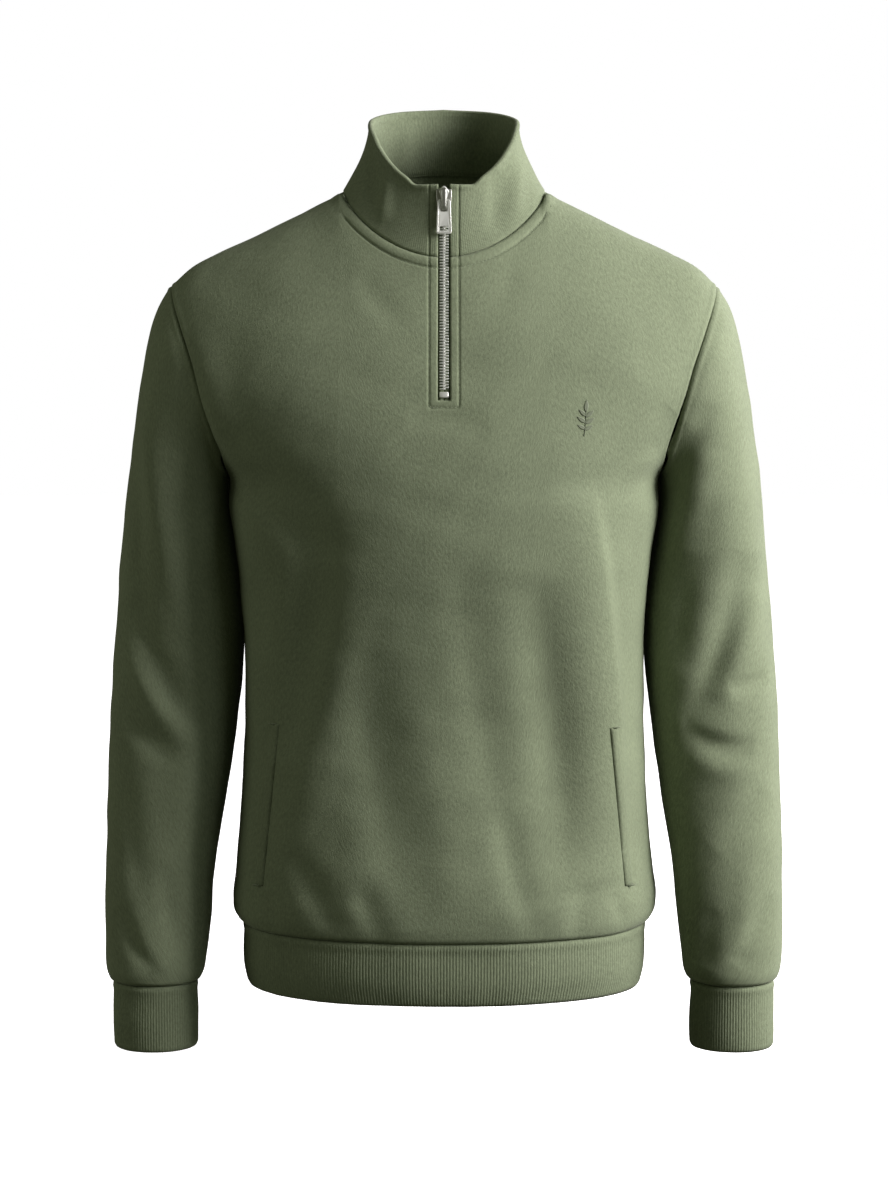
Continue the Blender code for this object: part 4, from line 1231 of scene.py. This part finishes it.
def build_stop():
    z = (CHAIN_END_Z + STOP_END_Z) / 2
    y, normal = path_point(z)
    sizes = (2 * TOOTH_REACH, TOOTH_DEEP, CHAIN_END_Z - STOP_END_Z - STOP_GAP)
    points, faces = rounded_block(sizes, STOP_BEVEL)
    centre = np.array([0.0, y, z]) - normal * (CHAIN_SUNK + TOOTH_DEEP / 2)
    return gather("zip_stop", [(centre + points @ path_frame(normal), faces)], NICKEL)


PLATE_SHARP = 35.0


def plate(name, outlines, wall, bevel, material):
    """A flat plate with softened edges from closed outlines; those after the first are holes."""
    curve = bpy.data.curves.new(name, "CURVE")
    curve.dimensions = "2D"
    curve.fill_mode = "BOTH"
    curve.extrude = (wall / 2 - bevel) * MM
    curve.bevel_depth = bevel * MM
    curve.bevel_resolution = 2
    curve.offset = -bevel * MM
    for outline in outlines:
        spline = curve.splines.new("POLY")
        spline.points.add(len(outline) - 1)
        for point, (x, y) in zip(spline.points, outline):
            point.co = (x * MM, y * MM, 0.0, 1.0)
        spline.use_cyclic_u = True
    draft = bpy.data.objects.new(name, curve)
    mesh = bpy.data.meshes.new_from_object(draft)
    bpy.data.objects.remove(draft)
    shape = bmesh.new()
    shape.from_mesh(mesh)
    bmesh.ops.remove_doubles(shape, verts=shape.verts, dist=1e-7)
    bmesh.ops.recalc_face_normals(shape, faces=shape.faces)
    shape.to_mesh(mesh)
    shape.free()
    mesh.materials.clear()
    mesh.materials.append(material)
    mesh.shade_smooth()
    mesh.set_sharp_from_angle(angle=math.radians(PLATE_SHARP))
    return linked(name, mesh)


def soft_outline(corners, radius, steps=4):
    """A closed outline with its corners rounded."""
    found = []
    for index, corner in enumerate(corners):
        here = np.array(corner)
        before = np.array(corners[index - 1]) - here
        after = np.array(corners[(index + 1) % len(corners)]) - here
        reach = min(radius, np.linalg.norm(before) / 2, np.linalg.norm(after) / 2)
        start = here + before / np.linalg.norm(before) * reach
        end = here + after / np.linalg.norm(after) * reach
        for share in np.linspace(0.0, 1.0, steps):
            turned = 2 * here * share * (1 - share)
            found.append(tuple(start * (1 - share) ** 2 + turned + end * share**2))
    return found


def mirrored(half):
    """A closed outline from its left half, which runs from the top down."""
    return half + [(-x, y) for x, y in reversed(half)]


def box_outline(half, top, end):
    return [(-half, top), (half, top), (half, end), (-half, end)]


def hinge_frame():
    """The tab's hinge point and the frame there: x across, y up the zip, z out of the cloth."""
    z = COLLAR_EDGE[0].height - HINGE_DROP
    y, normal = path_point(z)
    hinge = np.array([0.0, y, z]) + normal * HINGE_OUT
    up = np.array([0.0, normal[2], -normal[1]])
    matrix = np.eye(4)
    matrix[:3, 0] = (1.0, 0.0, 0.0)
    matrix[:3, 1] = up
    matrix[:3, 2] = normal
    return hinge, normal, matrix


def placed(obj, matrix, origin):
    full = matrix.copy()
    full[:3, 3] = origin * MM
    obj.matrix_world = Matrix(full.tolist())
    return obj


def build_slider():
    hinge, normal, matrix = hinge_frame()
    foot = hinge - normal * HINGE_OUT
    wings = mirrored([(-1.6, 10.4), (-3.4, 9.3), (-6.3, 9.2), (-6.3, 2.4), (-4.8, -9.4)])
    crown = mirrored([(-0.9, 11.7), (-4.3, 7.4), (-3.0, 4.6), (-2.2, 1.0)])
    body = plate("zip_slider_body", [soft_outline(wings, 1.5)], 1.2, 0.4, SATIN)
    ridge = plate("zip_slider_crown", [soft_outline(crown, 0.9)], 1.5, 0.6, NICKEL)
    placed(body, matrix, foot + normal * 0.9)
    placed(ridge, matrix, foot + normal * 1.9)
    ring = [
        (10.2, 1.5), (10.2, 5.0), (8.6, 6.4), (-5.4, 5.9), (-7.9, 4.2), (-7.9, 1.5),
        (-6.6, 1.5), (-6.6, 3.4), (-4.7, 4.6), (8.9, 5.1), (8.9, 1.5),
    ]  # fmt: skip
    bridge = plate("zip_slider_bridge", [soft_outline(ring, 0.5, 3)], 3.8, 0.6, SATIN)
    turned = matrix.copy()
    turned[:3, 0] = matrix[:3, 1]
    turned[:3, 1] = matrix[:3, 2]
    turned[:3, 2] = matrix[:3, 0]
    placed(bridge, turned, foot)
    return [body, ridge, bridge]


def build_tab():
    hinge, _, matrix = hinge_frame()
    outer = [
        (-4.0, 0.9), (4.0, 0.9), (5.4, -0.9), (6.3, -26.5), (5.3, -27.5),
        (-5.3, -27.5), (-6.3, -26.5), (-5.4, -0.9),
    ]  # fmt: skip
    inner = [
        (-3.9, -0.2), (3.9, -0.2), (4.2, -1.4), (4.75, -25.4), (4.3, -25.9),
        (-4.3, -25.9), (-4.75, -25.4), (-4.2, -1.4),
    ]  # fmt: skip
    slot = box_outline(3.1, -0.9, -9.4)
    eye = box_outline(3.5, -21.2, -24.9)
    rim = plate("zip_tab_rim", [soft_outline(outer, 0.9), soft_outline(inner, 0.4)], 1.5, 0.3, NICKEL)
    floor = [(x * 1.03, y) for x, y in inner]
    outlines = [soft_outline(floor, 0.4), soft_outline(slot, 0.8), soft_outline(eye, 0.9)]
    face = plate("zip_tab_face", outlines, 1.0, 0.15, PLAIN)
    for obj in (rim, face):
        placed(obj, matrix, hinge)
    return [rim, face]


# ---------------------------------------------------------------- making it

# Each sheet's flat cut: the width and length of the rectangle it is cut from, in metres.
Cut = namedtuple("Cut", "width length")


def keep(obj, slot, *nodes):
    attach(obj, GARMENT)
    if nodes:
        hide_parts(*nodes)
    return obj


front, front_area, front_neck = build_panel("front_panel_jersey", FRONT)
back, back_area, back_neck = build_panel("back_panel_jersey", BACK)
collar_piece, collar_area = build_collar()
keep(front, "jersey", "front_panel")
keep(back, "jersey", "back_panel")
keep(collar_piece, "collar_rib", "collar")

for side, word in ((-1.0, "left"), (1.0, "right")):
    arm, arm_area = build_sleeve(f"sleeve_{word}_jersey", side)
    keep(arm, "jersey", f"sleeve_{word}")
    cuff_seam = sleeve(side, 480, [SLEEVE[-1].step])[0]
    look = (CUFF, CUFF_RIB_PITCH, CUFF_RIB, CUFF_ROLL, CUFF_ROWS, -side)
    cuff, cuff_area = build_band(f"cuff_{word}_rib", cuff_seam, *look)
    keep(cuff, "rib", f"cuff_{word}")

look = (HEM, HEM_RIB_PITCH, HEM_RIB, HEM_ROLL, HEM_ROWS, 1)
hem, hem_area = build_band("hem_band_rib", hem_seam(), *look)
keep(hem, "rib", "hem_band")

front_surface = surface_of(front)
collar_surface = surface_of(collar_piece)

for side, word in ((-1.0, "left"), (1.0, "right")):
    welt, welt_area = build_welt(f"pocket_welt_{word}_rib", side, front_surface)
    keep(welt, "welt", f"pocket_welt_{word}")
    tape, tape_area = build_tape(f"zip_tape_{word}_woven", side)
    keep(tape, "zip_tape", f"zip_tape_{word}")

threads = stitch_line(front_surface, front_neck) + stitch_line(surface_of(back), back_neck)
for side in (-1.0, 1.0):
    corners = [(side * x, z) for x, z in placket_corners(-FRONT_NECK_DROP)]
    threads += stitch_line(front_surface, flat_line(front_surface, corners))
    x = side * PLACKET_HALF
    upright = flat_line(collar_surface, [(x, COLLAR_STITCH_TOP), (x, -FRONT_NECK_DROP + 2.0)])
    threads += stitch_line(collar_surface, upright)
for side in (-1.0, 1.0):
    for x, z in (WELT_TOP, WELT_BOTTOM):
        spot, normal = laid(front_surface, side * x, z)
        along = np.array([1.0, 0.0, TACK_LEAN * side])
        threads.append(capsule(spot + normal * TACK_OUT, along, normal, TACK_LENGTH, TACK_RADIUS))
keep(gather("topstitching", threads, THREAD), "jersey")

for piece in build_sprig(front_surface):
    keep(piece, "jersey")

keep(build_teeth(), "zip_metal", "zip_chain")
keep(build_stop(), "zip_metal", "zip_bottom_stop")
slider = build_slider()
for piece in slider:
    keep(piece, "zip_metal")
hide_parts("zip_slider")
tab = build_tab()
for piece in tab:
    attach(piece, PULL)
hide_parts("zip_pull_tab")

# ---------------------------------------------------------------- floor, light and camera

FLOOR_Z = -0.765
FLOOR_HALF = 6.0


def build_floor():
    mesh = bpy.data.meshes.new("floor")
    corners = [(FLOOR_HALF * x, FLOOR_HALF * y, FLOOR_Z) for x, y in ((-1, -1), (1, -1), (1, 1), (-1, 1))]
    mesh.from_pydata(corners, [], [(0, 1, 2, 3)])
    finish = Finish("pale_floor", Base_Color=(0.92, 0.92, 0.92, 1.0), Roughness=0.9, Emission_Strength=0.9)
    finish.shader.inputs["Emission Color"].default_value = (1.0, 1.0, 1.0, 1.0)
    mesh.materials.append(finish.material)
    floor = linked("floor", mesh)
    floor.visible_diffuse = False
    floor.visible_glossy = False


Lamp = namedtuple("Lamp", "name azimuth elevation distance width height watts colour")
AIM = (0.0, 0.0, -0.33)
FILL = 0.078
FILL_COLOUR = (0.97, 1.0, 0.70)
LAMPS = [
    Lamp("key", 66.0, 25.0, 3.0, 1.0, 1.6, 118.0, (1.05, 1.0, 1.04)),
    Lamp("key_front", 48.0, 25.0, 3.0, 1.4, 1.6, 16.0, (1.0, 1.0, 1.0)),
    Lamp("key_edge", 84.0, 22.0, 3.0, 1.0, 1.6, 60.0, (1.05, 1.0, 1.04)),
    Lamp("left_edge", -80.0, 15.0, 3.0, 1.3, 1.6, 13.0, (1.0, 1.0, 0.88)),
    Lamp("back_edge", 128.0, 22.0, 3.0, 1.0, 1.6, 60.0, (1.06, 1.0, 1.08)),
]


def build_lamp(lamp):
    """A soft box round the garment: azimuth runs from straight in front towards the right-hand side."""
    light = bpy.data.lights.new(lamp.name, "AREA")
    light.shape = "RECTANGLE"
    light.size = lamp.width
    light.size_y = lamp.height
    light.energy = lamp.watts
    light.color = lamp.colour
    obj = linked(lamp.name, light)
    azimuth = math.radians(lamp.azimuth)
    elevation = math.radians(lamp.elevation)
    flat = math.cos(elevation)
    way = Vector((math.sin(azimuth) * flat, -math.cos(azimuth) * flat, math.sin(elevation)))
    obj.location = Vector(AIM) + way * lamp.distance
    obj.rotation_euler = way.to_track_quat("Z", "Y").to_euler()


def build_world():
    world = bpy.data.worlds.new("studio")
    bpy.context.scene.world = world
    world.use_nodes = True
    tree = world.node_tree
    tree.nodes.clear()
    output = tree.nodes.new("ShaderNodeOutputWorld")
    mix = tree.nodes.new("ShaderNodeMixShader")
    rays = tree.nodes.new("ShaderNodeLightPath")
    for index, (colour, strength) in enumerate(((FILL_COLOUR, FILL), ((1.0, 1.0, 1.0), 1.0)), start=1):
        glow = tree.nodes.new("ShaderNodeBackground")
        glow.inputs["Color"].default_value = (*colour, 1.0)
        glow.inputs["Strength"].default_value = strength
        tree.links.new(glow.outputs[0], mix.inputs[index])
    tree.links.new(rays.outputs["Is Camera Ray"], mix.inputs[0])
    tree.links.new(mix.outputs[0], output.inputs["Surface"])


CAMERA_PLACE = (0.0, -3.0, 0.0)
CAMERA_AIM = (0.0, 0.0, -0.337)
CAMERA_LENS = 108.3
CAMERA_SENSOR = 36.0


def build_camera():
    camera = bpy.data.cameras.new("camera")
    camera.lens = CAMERA_LENS
    camera.sensor_width = CAMERA_SENSOR
    camera.clip_start = 0.05
    camera.dof.use_dof = False
    obj = linked("camera", camera)
    obj.location = CAMERA_PLACE
    look = Vector(CAMERA_AIM) - Vector(obj.location)
    obj.rotation_euler = look.to_track_quat("-Z", "Y").to_euler()
    bpy.context.scene.camera = obj


build_floor()
build_world()
for lamp in LAMPS:
    build_lamp(lamp)
build_camera()
bpy.context.scene.view_settings.view_transform = "Standard"
